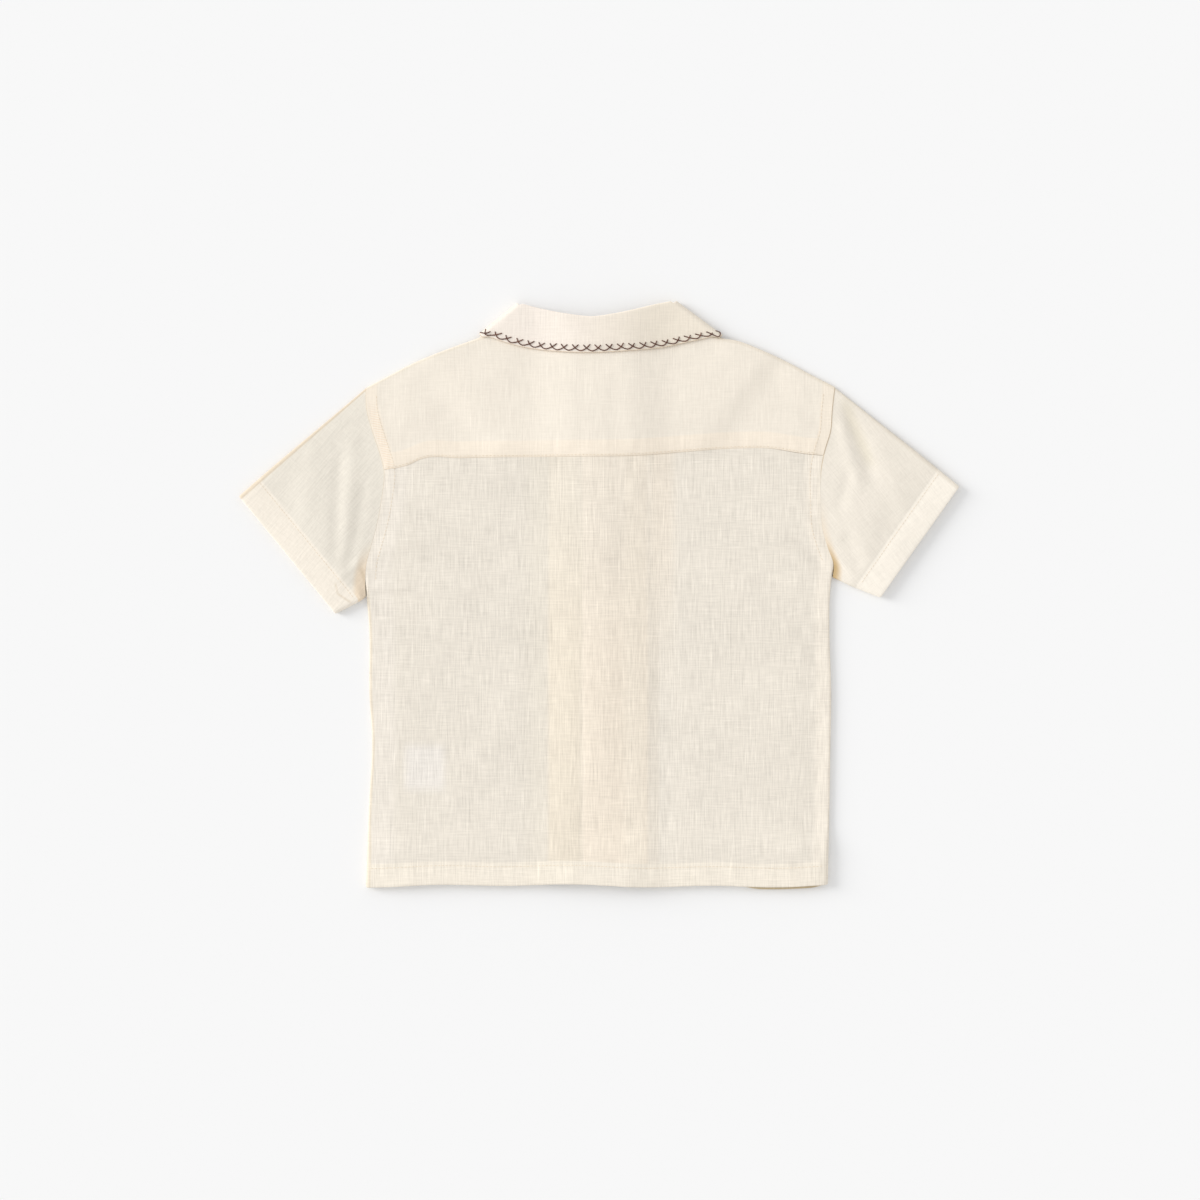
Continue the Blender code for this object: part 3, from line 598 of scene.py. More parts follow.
def front_columns(side):
    """Places across a front, from its rolled side edge to its facing's inner edge.

    Also gives the count of the last one before the facing lies over the panel.
    """
    out = outward(side)
    fold_x = CENTRE_FRONT_X - out * (OVERLAP - WALL / 2 - TURN_RADIUS)
    facing_x = CENTRE_FRONT_X - out * (OVERLAP - FACING_WIDTH)
    columns = []
    for share in spread(5.0, 98.0):
        x, _, fold_y = shoulder_stop(side, share, forward_end(side))
        columns.append(Stop(x, fold_y - FORWARD_SEAM - CLOSED_SEAM / 2, 1.0 - share))
    rolled = [columns[0]._replace(roll=turn) for turn in roll_turns()]
    inner = [mix(NECK_POINT[side][0], facing_x, share) for share in spread(5.0, 30.0)[1:-1]]
    inner.append(facing_x + out * SEAM_GAP)
    hem_stop = ROLL_STEPS + len(columns) + len(inner) - 1
    lap = [mix(facing_x, fold_x, share) for share in spread(2.7, 43.0)[1:-1]]
    columns = rolled + columns + [Stop(x, front_neck_y(x)) for x in inner + lap + [fold_x]]
    fold = Stop(fold_x, front_neck_y(fold_x))
    columns += [fold._replace(turn=turn) for turn in half_turn(FOLD_STEPS)]
    columns += [Stop(x, front_neck_y(x), turn=math.pi) for x in lap[::-1] + [facing_x]]
    return columns, hem_stop


def make_front(side):
    out, level = outward(side), front_levels[side]
    columns, hem_stop = front_columns(side)
    edge = columns[ROLL_STEPS]
    side_bottom = hem_line(body_edge(side, HEM_Y))
    rows = panel_rows(120.0, 5.0)
    last_side = len([row for row in rows if not row.fold]) - 1

    def place(column, row, inset):
        facing = column.turn > 0.0
        shift, turned_in = (0.0, inset) if facing else hem_turn(row, inset)
        way = front_way(side, row)
        shared_way = (front_way("left", row) + front_way("right", row)) / 2.0
        side_y = mix(edge.top, side_bottom, way) + shift
        cut_in = scoop(side, side_y)
        start = roll_start(side, side_y, cut_in)
        if column.roll:
            x, drop = side_roll(side, side_y, column.roll, turned_in, cut_in)
            return (x, side_y, level(start, side_y) + drop), (0.0, FAR, side_y - side_bottom)
        x = column.x + (start - edge.x) * column.share ** 2
        y = mix(column.top, hem_line(x), mix(shared_way, way, column.share)) - peek(x, way)
        if facing:
            radius = TURN_RADIUS - inset
            x -= out * radius * math.sin(column.turn)
            turned_in = TURN_RADIUS - radius * math.cos(column.turn)
        return (x, y + shift, level(x, y) + turned_in), (abs(x - start), FAR, y - hem_line(x))

    def left_out(column, row):
        return row >= last_side and column >= hem_stop

    return cloth("cloth_front_" + side, "front_" + side, columns, rows, place, CLOTH,
                 front_linen, left_out)


fronts = {side: make_front(side) for side in SIDES}


# The back is one plain panel, pressed flat, with its hem turned up and its sides rolled down
# over the side seams. The fronts' facings and the doubled hem show through the thin linen.
SEAM_END_Y = 90.0
HEM_STITCH = 12.6
HEM_STITCH_DIP = 0.10
HEM_PUCKER = 0.13
BACK_WAVES = 0.22
Crease = namedtuple("Crease", "x y to_x to_y width height")
BODY_CREASES = (
    Crease(-160.0, 1.6, -132.0, -0.6, 1.8, -0.80), Crease(-158.0, 6.6, -130.0, 5.4, 2.6, 0.65),
    Crease(-160.0, 30.0, -128.0, 38.0, 5.0, 0.55), Crease(-160.0, -8.0, -116.0, -20.0, 5.0, -0.60),
    Crease(163.0, 26.0, 138.0, 66.0, 3.4, 0.60), Crease(164.0, 16.0, 132.0, 42.0, 4.6, -0.70),
    Crease(162.0, -58.0, 150.0, -80.0, 3.0, 0.45), Crease(163.0, -84.0, 146.0, -98.0, 3.0, -0.45),
    Crease(161.0, -60.0, 157.0, -74.0, 1.6, -0.50), Crease(-35.6, 86.0, -36.2, -186.0, 1.5, -0.26),
    Crease(34.0, 84.0, 40.0, -30.0, 1.6, -0.26), Crease(40.0, -30.0, 34.5, -186.0, 1.6, -0.28),
    Crease(-14.0, -40.0, -13.0, -184.0, 1.3, -0.26), Crease(-96.6, 94.0, -97.5, 84.0, 1.6, 0.26),
    Crease(-31.0, 94.0, -32.0, 80.0, 1.6, -0.22), Crease(27.0, 95.0, 26.0, 84.0, 1.5, 0.22),
    Crease(56.0, 97.0, 57.0, 85.0, 1.6, -0.20), Crease(-120.0, 60.0, -60.0, 30.0, 9.0, 0.22),
    Crease(-60.0, -90.0, -110.0, -150.0, 10.0, 0.25), Crease(70.0, 40.0, 130.0, 60.0, 9.0, -0.22),
    Crease(60.0, -120.0, 120.0, -60.0, 11.0, 0.22), Crease(-90.0, -20.0, -60.0, 60.0, 12.0, -0.22),
)


def creased(creases, x, y):
    """Height that the creases near a point add: long soft ridges and troughs."""
    height = 0.0
    for crease in creases:
        run_x, run_y = crease.to_x - crease.x, crease.to_y - crease.y
        length = math.hypot(run_x, run_y)
        along = ((x - crease.x) * run_x + (y - crease.y) * run_y) / length
        if -length * 0.3 < along < length * 1.3:
            aside = abs((y - crease.y) * run_x - (x - crease.x) * run_y) / length
            if aside < crease.width * 3.0:
                ends = ease(along / length / 0.25 + 0.6) * ease((1.0 - along / length) / 0.35 + 0.4)
                height += crease.height * ends * math.exp(-(aside / crease.width) ** 2)
    return height


def back_top(x, y):
    """Middle of the back's cloth, with its creases, its pucker along the hem and its soft waves."""
    inside = ease((min(x - body_edge("left", y), body_edge("right", y) - x) - 1.0) / 8.0)
    to_hem = y - hem_line(x)
    stitched = -HEM_STITCH_DIP * math.exp(-((to_hem - HEM_STITCH) / 1.3) ** 2)
    puckered = HEM_PUCKER * math.sin(x / 2.6 + math.sin(x / 9.0)) * math.sin(x / 17.0)
    stitched += puckered * ease((HEM_STITCH + 6.0 - to_hem) / 8.0)
    waves = BACK_WAVES * math.sin(x / 23.0 + math.sin(y / 41.0)) * math.sin(y / 37.0 + 1.3)
    height = creased(BODY_CREASES, x, y) + waves + stitched
    return back_level(x, y) + height * inside


BACK_LINEN = shade(232, 224, 211)
# Painted shade on the placket's left slope, which faces the lamp, and painted light on its right
# slope, which faces away.
LIT_SLOPE_PAINTED_SHADE = shade(227, 219, 205)
SHADED_SLOPE_PAINTED_LIGHT = shade(237, 229, 216)
FACING_LEFT_LINEN = shade(230, 219, 201)
# The right facing as it shows through the back, also used as painted light on the shaded slope beside
# the facing.
FACING_RIGHT_AND_SLOPE_LIGHT = shade(239, 227, 210)
# Painted light on the right facing where it lies on the placket's slope away from the lamp.
FACING_SLOPE_PAINTED_LIGHT = shade(245, 234, 217)
FACING_EDGE_LINEN = shade(226, 216, 201)
# Lighter strips along the sides where the side seams lie under the back, with painted shade on the
# left, lit side and painted light on the right.
SIDE_LEFT_SEAM_AND_SHADE = shade(235, 227, 215)
SIDE_RIGHT_SEAM_AND_LIGHT = shade(241, 232, 218)
LABEL_LINEN = shade(241, 236, 231)
# Painted shade on the hem where it crosses the placket's lit left slope.
HEM_LIT_SLOPE_PAINTED_SHADE = shade(236, 227, 211)
back_linen = linen("back_linen", BACK_LINEN, lambda at: [
    # Painted shade on the lit left slope of the placket and painted light on its shaded right slope.
    (at.x.within(-50.0, -15.0, 9.0) * 0.85, LIT_SLOPE_PAINTED_SHADE),
    (at.x.within(18.0, 52.0, 9.0), SHADED_SLOPE_PAINTED_LIGHT),
    (at.x.within(-37.0, 42.0, 2.0) * at.y.rise(80.0, -60.0) * 0.5, FACING_EDGE_LINEN),
    (at.x.within(-35.2, -11.0, 1.6) * (0.9 - at.y.rise(-60.0, 80.0) * 0.6), FACING_LEFT_LINEN),
    (at.x.within(-14.0, -11.2, 1.0) * at.y.rise(10.0, -70.0) * 0.35, FACING_EDGE_LINEN),
    (at.x.within(-11.4, 33.7, 1.8) * (1.0 - at.y.rise(-80.0, 60.0) * 0.5), FACING_RIGHT_AND_SLOPE_LIGHT),
    # Painted light on the facing where the slope turns away from the lamp.
    (at.x.within(18.0, 33.0, 5.0) * (0.9 - at.y.rise(-80.0, 60.0) * 0.4), FACING_SLOPE_PAINTED_LIGHT),
    # Painted light on the placket's shaded right slope, beside the facing.
    (at.x.within(34.0, 52.0, 5.0) * at.y.rise(-90.0, 60.0) * 0.65, FACING_RIGHT_AND_SLOPE_LIGHT),
    # Side strips: painted shade on the left, painted light on the right.
    (at.side.within(-5.0, 16.0, 4.5) * at.x.rise(1.0, -1.0), SIDE_LEFT_SEAM_AND_SHADE),
    (at.side.within(-4.0, 9.0, 3.0) * at.x.rise(-1.0, 1.0), SIDE_RIGHT_SEAM_AND_LIGHT),
    (at.x.within(-136.0, -108.5, 4.0) * at.y.within(-136.0, -105.0, 5.0) * 0.5, LABEL_LINEN),
    (at.hem.within(-3.0, 15.6, 0.5), HEM_LINEN),
    # Painted shade on the hem over the lit slope.
    (at.hem.within(-3.0, 15.6, 0.5) * at.x.within(-50.0, -15.0, 9.0) * 0.7, HEM_LIT_SLOPE_PAINTED_SHADE),
    # Painted shade along the rolled side edges, stronger on the left below the underarm.
    ((1.0 - at.side.rise(0.0, 1.3)) * (at.x.rise(1.0, -1.0) * at.y.rise(10.0, -6.0) * 0.7 + 0.12),
     FOLD_PAINTED_SHADE),
], weave=1.55)
Column = namedtuple("Column", "share turn side")


def seam_end(side):
    """Where the yoke seam meets the armhole."""
    x = body_edge(side, SEAM_END_Y)
    return x, seam_y(x)


def make_back():
    columns = [Column(0.0, turn, "left") for turn in roll_turns()]
    columns += [Column(share, 0.0, "") for share in spread(2.4, 306.0)]
    columns += [Column(1.0, turn, "right") for turn in roll_turns()[::-1]]
    ends = {side: (seam_end(side)[1] - CLOSED_SEAM / 2, hem_line(body_edge(side, HEM_Y)))
            for side in SIDES}
    first_x, last_x = (roll_start(side, ends[side][0]) for side in SIDES)

    def place(column, row, inset):
        shift, inset = hem_turn(row, inset)
        ways, starts, side_ys = {}, {}, {}
        for side, (top, bottom) in ends.items():
            ways[side] = row_way(top, bottom, side, row)
            side_ys[side] = mix(top, bottom, ways[side]) + shift
            starts[side] = roll_start(side, side_ys[side])
        if column.turn:
            y = side_ys[column.side]
            x, drop = side_roll(column.side, y, column.turn, inset, 0.0)
            marks = (0.0, seam_end(column.side)[1] - y, y - shift - ends[column.side][1])
            return (x, y, back_level(starts[column.side], y) - drop), marks
        x = mix(starts["left"], starts["right"], column.share)
        top_x = mix(first_x, last_x, column.share)
        way = mix(ways["left"], ways["right"], column.share)
        y = mix(seam_y(top_x) - CLOSED_SEAM / 2, hem_line(x), way)
        from_side = min(x - starts["left"], starts["right"] - x)
        return (x, y + shift, back_top(x, y) - inset), (from_side, seam_y(x) - y, y - hem_line(x))

    return cloth("cloth_back", "back", columns, panel_rows(95.0, 2.4), place, CLOTH, back_linen)


back = make_back()


# The yoke is two layers of linen with the back's top edge sewn in between. It runs over both
# shoulders to the forward seams, and its lower edge shows the turned-in seam allowance.
Neck = namedtuple("Neck", "share seam roll edge")
BACK_NECK = (
    Neck(0.00, 190.3, 205.5, 183.4), Neck(0.16, 185.0, 200.8, 174.6), Neck(0.32, 181.0, 197.2, 170.6),
    Neck(0.48, 179.4, 195.4, 169.8), Neck(0.61, 180.4, 197.4, 171.0), Neck(0.75, 183.6, 200.7, 173.4),
    Neck(0.86, 187.2, 203.8, 177.4), Neck(1.00, 192.3, 206.9, 182.6),
)
back_neck = {line: line_through(BACK_NECK, "share", line) for line in ("seam", "roll", "edge")}
NECK_GAP = 0.7
NECK_SEAM_X = {"left": -70.0, "right": 68.0}
YOKE_CLOTH = 0.8
YOKE_RAISED = (YOKE_WALL - WALL) / 2
YOKE_SEAM_DEPTH = 11.6
YOKE_SEAM_RISE = 0.22
YOKE_EDGE_DIP = 0.40
ARMHOLE_SEAM_DEPTH = 10.0
ARMHOLE_SEAM_RISE = 0.16
YOKE_WAVES = 0.14
YOKE_FOLD_STEPS = 8
YOKE_CREASES = (
    Crease(-96.6, 98.0, -97.0, 110.0, 1.4, -0.30), Crease(-31.6, 98.5, -31.0, 112.0, 1.3, -0.34),
    Crease(27.2, 99.0, 27.6, 111.0, 1.4, -0.30), Crease(56.6, 101.0, 56.0, 112.0, 1.3, -0.34),
    Crease(100.0, 104.0, 100.4, 116.0, 1.4, -0.32), Crease(142.0, 101.0, 143.0, 113.0, 1.5, -0.26),
    Crease(9.7, 169.0, 9.9, 162.5, 0.9, -0.40), Crease(-140.0, 150.0, -110.0, 128.0, 7.0, 0.28),
    Crease(-60.0, 150.0, -20.0, 130.0, 10.0, -0.25), Crease(120.0, 160.0, 134.0, 120.0, 8.0, -0.30),
    Crease(60.0, 140.0, 100.0, 128.0, 9.0, 0.24), Crease(-158.0, 128.0, -146.0, 96.0, 3.0, 0.22),
)
YOKE_LINEN = shade(239, 230, 216)
YOKE_BAND_LINEN = shade(244, 232, 215)
OVERLOCK_LINEN = shade(238, 215, 190)
SEAM_SHADE = shade(206, 186, 157)
yoke_linen = linen("yoke_linen", YOKE_LINEN, lambda at: [
    (at.seam.within(-2.0, YOKE_SEAM_DEPTH, 0.9), YOKE_BAND_LINEN),
    (at.side.within(-2.0, 8.0, 1.0) * 0.8, YOKE_BAND_LINEN),
    (at.side.within(1.0, 6.4, 0.8) * at.x.rise(1.0, -1.0) * at.y.rise(140.0, 122.0)
     * (at.y * 3.6 + at.side * 0.9).wave().rise(-0.2, 0.6) * 0.6, OVERLOCK_LINEN),
    (at.seam.within(-1.0, 0.5, 0.3) * 0.35, SEAM_SHADE),
    # Painted shade where the yoke starts to roll over the shoulders.
    (0.4 - at.hem.rise(0.0, 1.6) * 0.4, FOLD_PAINTED_SHADE),
], weave=0.75)
Cut = namedtuple("Cut", "seam_x top_x side share")
Step = namedtuple("Step", "share turn front")


def yoke_top(x, y):
    """Middle of the yoke's cloth, raised over the seam allowances inside it."""
    to_seam = y - seam_y(x)
    side = "left" if x < 0.0 else "right"
    to_side = outward(side) * (body_edge(side, y) - x)
    over_seam = YOKE_SEAM_RISE * ease((YOKE_SEAM_DEPTH + 1.0 - to_seam) / 2.0)
    over_armhole = ARMHOLE_SEAM_RISE * ease((ARMHOLE_SEAM_DEPTH - to_side) / 2.0)
    edge = -YOKE_EDGE_DIP * ease(1.0 - to_seam / 2.2)
    waves = YOKE_WAVES * math.sin(x / 19.0 + 2.0) * math.sin(y / 24.0 + math.sin(x / 31.0))
    waves += creased(YOKE_CREASES, x, y)
    inside = ease((to_side - 1.0) / 8.0)
    return (back_level(x, y) + YOKE_RAISED + (over_seam + over_armhole) * inside + edge
            + waves * inside)


def yoke_fold_start(side):
    """Y at the armhole where the cloth starts to roll over the shoulder."""
    edge = body_edge(side, ARMHOLE_TOP_Y)
    return shoulder_y(side, edge) - YOKE_WALL / 2 - FOLD_RADIUS


def shoulder_cuts(side, width):
    """Places across the yoke from an armhole to the neck."""
    return [Cut(mix(seam_end(side)[0], NECK_SEAM_X[side], share), 0.0, side, share)
            for share in spread(2.4, width)]


def make_yoke():
    left, right = shoulder_cuts("left", 84.0), shoulder_cuts("right", 86.0)
    neck = [Cut(mix(NECK_SEAM_X["left"], NECK_SEAM_X["right"], share),
                mix(NECK_POINT["left"][0], NECK_POINT["right"][0], share), "", share)
            for share in spread(2.4, 138.0)[1:-1]]
    first_neck, last_neck = len(left) - 1, len(left) + len(neck) - 1
    rise = spread(2.4, 84.0)
    rows = [Step(share, 0.0, 0.0) for share in rise]
    rows += [Step(1.0, turn, 0.0) for turn in half_turn(YOKE_FOLD_STEPS)]
    rows += [Step(1.0, math.pi, share) for share in spread(3.0, 15.0)[1:]]

    def place(cut, step, inset):
        low = seam_y(cut.seam_x) + CLOSED_SEAM / 2
        if not cut.side:
            top_y = back_neck["seam"](cut.share) - NECK_GAP
            x, y = mix(cut.seam_x, cut.top_x, step.share), mix(low, top_y, step.share)
            return (x, y, yoke_top(x, y) - inset), (FAR, y - seam_y(x), FAR)
        side, out = cut.side, outward(cut.side)
        _, top_x, fold_y = shoulder_stop(side, cut.share, ARMHOLE_TOP_Y)
        fold_y -= YOKE_WALL / 2
        upper = back_level(top_x, fold_y) + YOKE_RAISED
        radius = (upper - left_level(top_x, fold_y) - YOKE_RAISED) / 2
        start_y = fold_y - radius
        if step.turn:
            y = start_y + (radius - inset) * math.sin(step.turn)
            y -= (FORWARD_SEAM - CLOSED_SEAM / 2 - radius - YOKE_WALL / 2) * step.front
            row_y = y + shoulder_y(side, body_edge(side, ARMHOLE_TOP_Y)) - fold_y - YOKE_WALL / 2
            x = shoulder_stop(side, cut.share, row_y)[0]
            z = upper - radius + (radius - inset) * math.cos(step.turn)
            if step.front:
                z = left_level(x, y) + YOKE_RAISED + inset
            return (x, y, z), (abs(x - body_edge(side, row_y)), FAR, 0.0)
        row_y = mix(seam_end(side)[1], yoke_fold_start(side), step.share)
        y = mix(low, start_y, step.share)
        outer = body_edge(side, row_y) - out * CLOSED_SEAM / 2
        armhole = body_edge(side, ARMHOLE_TOP_Y) - out * CLOSED_SEAM / 2
        straight = mix(seam_end(side)[0], armhole, step.share)
        x = mix(cut.seam_x, top_x, step.share) + (outer - straight) * (1.0 - cut.share) ** 2
        z = mix(yoke_top(x, y), upper, ease(step.share * 8.0 - 7.0))
        return (x, y, z - inset), (abs(x - outer), y - seam_y(x), start_y - y)

    def left_out(column, row):
        return first_neck <= column <= last_neck and row >= len(rise) - 1

    return cloth("cloth_yoke", "yoke", left + neck + right[::-1], rows, place, YOKE_CLOTH,
                 yoke_linen, left_out)


yoke = make_yoke()


# Each sleeve is cut in one, sewn into the armhole and closed under the arm, and lies as a flat
# tube. Its cuff is a deep turned-up hem, held by one row of stitches.
CUFF_RADIUS = 2.2
CUFF_DEPTH = 19.6
CUFF_REACH = CUFF_DEPTH + 2.0
CUFF_STITCH = 17.6
CUFF_STITCH_DIP = 0.22
UNDERARM_BLEND = 16.0
UNDERARM_CLEARANCE = 0.3
SLEEVE_PUFF = 1.0
SLEEVE_LENGTH = 62.0
SLEEVE_WIDTH = 132.0
TINT_WIDTH = 130.0
Sleeve = namedtuple("Sleeve", "side cuff_top cuff_bottom creases grain")
SLEEVES = (
    Sleeve("left", (-252.6, 69.6), (-184.6, -13.2), (
        Crease(-181.4, 96.0, -184.9, 24.0, 5.0, -0.85), Crease(-163.9, 80.0, -177.9, 3.0, 4.6, -0.65),
        Crease(-173.0, 108.0, -177.0, 40.0, 5.4, 0.50), Crease(-200.0, 92.0, -208.0, 40.0, 8.0, 0.50),
        Crease(-167.0, 24.0, -186.0, 8.0, 3.0, 0.70), Crease(-166.0, 12.0, -180.0, -2.0, 2.6, -0.70),
        Crease(-222.0, 78.0, -204.0, 22.0, 9.0, -0.50), Crease(-170.0, 134.0, -206.0, 98.0, 6.0, 0.40),
        Crease(-196.0, 10.0, -187.0, 4.0, 2.2, 0.55),
    ), math.radians(-40.0)),
    Sleeve("right", (252.8, 76.4), (197.2, -1.8), (
        Crease(173.0, 132.0, 193.1, 78.0, 4.6, -1.10), Crease(168.0, 122.0, 182.0, 76.0, 4.6, 0.90),
        Crease(172.0, 40.0, 184.0, 20.0, 5.0, -0.80), Crease(165.0, 26.0, 178.0, 14.0, 3.0, 0.80),
        Crease(196.0, 110.0, 214.0, 62.0, 8.0, 0.60), Crease(205.0, 60.0, 196.0, 18.0, 8.0, -0.55),
        Crease(168.0, 60.0, 176.0, 88.0, 4.0, -0.60), Crease(176.0, 140.0, 216.0, 104.0, 6.0, 0.40),
    ), math.radians(38.0)),
)
Station = namedtuple("Station", "y way up turn")


def sleeve_span(side):
    """Y of a sleeve's top and underarm folds at the armhole."""
    return yoke_fold_start(side), UNDERARM_Y[side] + FOLD_RADIUS + WALL / 2


def sleeve_stations(side):
    """Places round the sleeve: from the seam, along the underside, over the top and back."""
    top_y, under_y = sleeve_span(side)
    quarter = math.pi / 2
    turns = [quarter * part / ROLL_STEPS for part in range(ROLL_STEPS)]
    stations = [Station(under_y, 1.0, -1.0, turn) for turn in turns]
    stations += [Station(mix(under_y, top_y, share), 0.0, -1.0, quarter)
                 for share in spread(5.0, SLEEVE_WIDTH)]
    stations += [Station(top_y, -1.0, -1.0, turn) for turn in turns[:0:-1]]
    stations += [Station(top_y, -1.0, 1.0, turn) for turn in turns]
    stations += [Station(mix(top_y, under_y, share), 0.0, 1.0, quarter)
                 for share in spread(2.4, SLEEVE_WIDTH)]
    return stations + [Station(under_y, 1.0, 1.0, turn) for turn in turns[::-1]]


def sleeve_point(sleeve, station, row, inset):
    """A point of a sleeve, with its distances from the top fold, the armhole and the cuff."""
    side, out = sleeve.side, outward(sleeve.side)
    top_y, under_y = sleeve_span(side)
    cuff_top, cuff_bottom = np.array(sleeve.cuff_top), np.array(sleeve.cuff_bottom)
    cuff_length = float(np.linalg.norm(cuff_bottom - cuff_top))
    cuff_way = (cuff_bottom - cuff_top) / cuff_length
    cuff_tip = CUFF_RADIUS + WALL / 2
    shift, turned_in = hem_turn(row, inset, CUFF_DEPTH)
    y = station.y
    dig = scoop(side, y) if station.up < 0.0 else 0.0
    clearance = UNDERARM_CLEARANCE * ease(1.0 - (y - under_y) / UNDERARM_BLEND)
    armhole = np.array((body_edge(side, y) + out * (CLOSED_SEAM / 2 + clearance - dig), y))
    share_down = (top_y - y) / (top_y - under_y)
    cuff = cuff_top + cuff_way * mix(cuff_tip, cuff_length - cuff_tip, share_down)
    along = cuff - armhole
    length = float(np.linalg.norm(along))
    cuff_start = length - CUFF_REACH
    if row.stretch == "tube":
        reach = cuff_start * row.share
    else:
        reach = mix(cuff_start, length - TURN_RADIUS - WALL / 2, row.share) - shift
    share = reach / length
    radius = mix(FOLD_RADIUS, CUFF_RADIUS, ease(reach / cuff_start))
    seam = CLOSED_SEAM / 2 if station.way > 0.0 else 0.0
    roll = radius - seam - turned_in
    point = armhole + along * share
    if station.way:
        tip_way = mix(np.array((0.0, -station.way)), cuff_way * station.way, share)
        tip_way = tip_way / float(np.linalg.norm(tip_way))
        point = point + tip_way * roll * math.cos(station.turn)
    z = FLOOR_LEVEL + radius + station.up * (seam + roll * math.sin(station.turn))
    from_hem = length - reach - shift if row.fold else length - reach
    if station.up > 0.0 and not station.way:
        middle = math.sin(math.pi * share_down)
        z += SLEEVE_PUFF * middle * math.sin(math.pi * min(share, 1.0))
        free = ease(share_down * 9.0) * ease((1.0 - share_down) * 9.0) * ease(reach / 10.0)
        stitched = -CUFF_STITCH_DIP * math.exp(-((from_hem - CUFF_STITCH) / 1.4) ** 2)
        held_flat = mix(1.0, 0.25, ease((CUFF_DEPTH + 8.0 - from_hem) / 16.0))
        z += (creased(sleeve.creases, *point) * held_flat + stitched) * free
    return (point[0], point[1], z), (share_down * TINT_WIDTH, reach, from_hem)


def along_line(at, start, end, width):
    """1 along a fine line between two places on the shirt, and 0 away from it."""
    run = (end[0] - start[0], end[1] - start[1])
    length = math.hypot(*run)
    way = (run[0] / length, run[1] / length)
    x, y = at.x - start[0], at.y - start[1]
    aside = x * way[1] - y * way[0]
    between = (x * way[0] + y * way[1]).within(0.0, length, width)
    return aside.within(-width / 2, width / 2, width / 2) * between


SLEEVE_LEFT_LINEN = shade(234, 227, 214)
SLEEVE_RIGHT_LINEN = shade(234, 226, 213)
CUFF_LEFT_LINEN = shade(244, 235, 221)
CUFF_RIGHT_LINEN = shade(248, 240, 227)
# Painted shade in the long trough that runs down from the right shoulder.
TROUGH_PAINTED_SHADE = shade(206, 197, 172)
# Painted light on the right cuff's rolled lower edge, which turns away from the lamp.
CUFF_EDGE_PAINTED_LIGHT = shade(251, 244, 232)
# Painted shade where each sleeve tucks under the body at the underarm: a wide soft tone and a deep
# narrow one.
UNDERARM_SOFT_SHADE = shade(238, 220, 196)
UNDERARM_SHADE = shade(200, 172, 126)
sleeve_linens = {
    "left": linen("left_sleeve_linen", SLEEVE_LEFT_LINEN, lambda at: [
        # Painted shade near the underarm.
        (at.seam.within(-2.0, 9.0, 3.0) * at.side.rise(92.0, 118.0), UNDERARM_SOFT_SHADE),
        (at.hem.within(-3.0, 19.6, 0.5), CUFF_LEFT_LINEN),
        (at.hem.rise(1.0, -0.6) * 0.6, SEAM_SHADE),
        (0.6 - at.side.rise(0.0, 1.4) * 0.6, SEAM_SHADE),
        (along_line(at, (-184.4, 8.6), (-182.8, 1.2), 1.4) * 0.3, SEAM_SHADE),
        (along_line(at, (-182.8, 1.2), (-173.6, -5.0), 1.4) * 0.35, SEAM_SHADE),
        (along_line(at, (-166.6, 19.0), (-162.8, 6.0), 2.4) * 0.45, SEAM_SHADE),
        (at.seam.within(-2.0, 0.5, 0.3) * 0.35, SEAM_SHADE),
    ], grain=SLEEVES[0].grain, crinkle=0.11, weave=0.75),
    "right": linen("right_sleeve_linen", SLEEVE_RIGHT_LINEN, lambda at: [
        (at.hem.within(-3.0, 19.6, 0.8), CUFF_RIGHT_LINEN),
        # Painted light on the cuff's lower edge.
        (at.hem.rise(3.0, 0.0) * 0.6, CUFF_EDGE_PAINTED_LIGHT),
        # Painted shade along the sleeve's top fold.
        (0.3 - at.side.rise(0.0, 1.6) * 0.3, FOLD_PAINTED_SHADE),
        # Painted shade where the sleeve tucks under the body.
        ((1.0 - at.seam.rise(0.5, 8.0)) * at.side.rise(70.0, 116.0) * 0.8, UNDERARM_SOFT_SHADE),
        ((1.0 - at.seam.rise(0.8, 7.5)) * at.side.rise(100.0, 124.0), UNDERARM_SHADE),
        (at.seam.within(-2.0, 0.6, 0.4) * at.side.rise(70.0, 50.0) * 0.6, UNDERARM_SHADE),
        # Painted shade in the sleeve's trough.
        (along_line(at, (172.0, 136.0), (190.0, 92.0), 7.0) * 0.35, TROUGH_PAINTED_SHADE),
    ], grain=SLEEVES[1].grain, crinkle=0.09, weave=0.65),
}


def make_sleeve(sleeve):
    rows = [Row("tube", share) for share in spread(2.4, SLEEVE_LENGTH)]
    rows += [Row("cuff", share) for share in spread(2.0, 20.0)[1:]] + turned_rows("cuff")
    return cloth("cloth_sleeve_" + sleeve.side, "sleeve_" + sleeve.side, sleeve_stations(sleeve.side),
                 rows, lambda *at: sleeve_point(sleeve, *at), CLOTH, sleeve_linens[sleeve.side])


sleeves = {sleeve.side: make_sleeve(sleeve) for sleeve in SLEEVES}


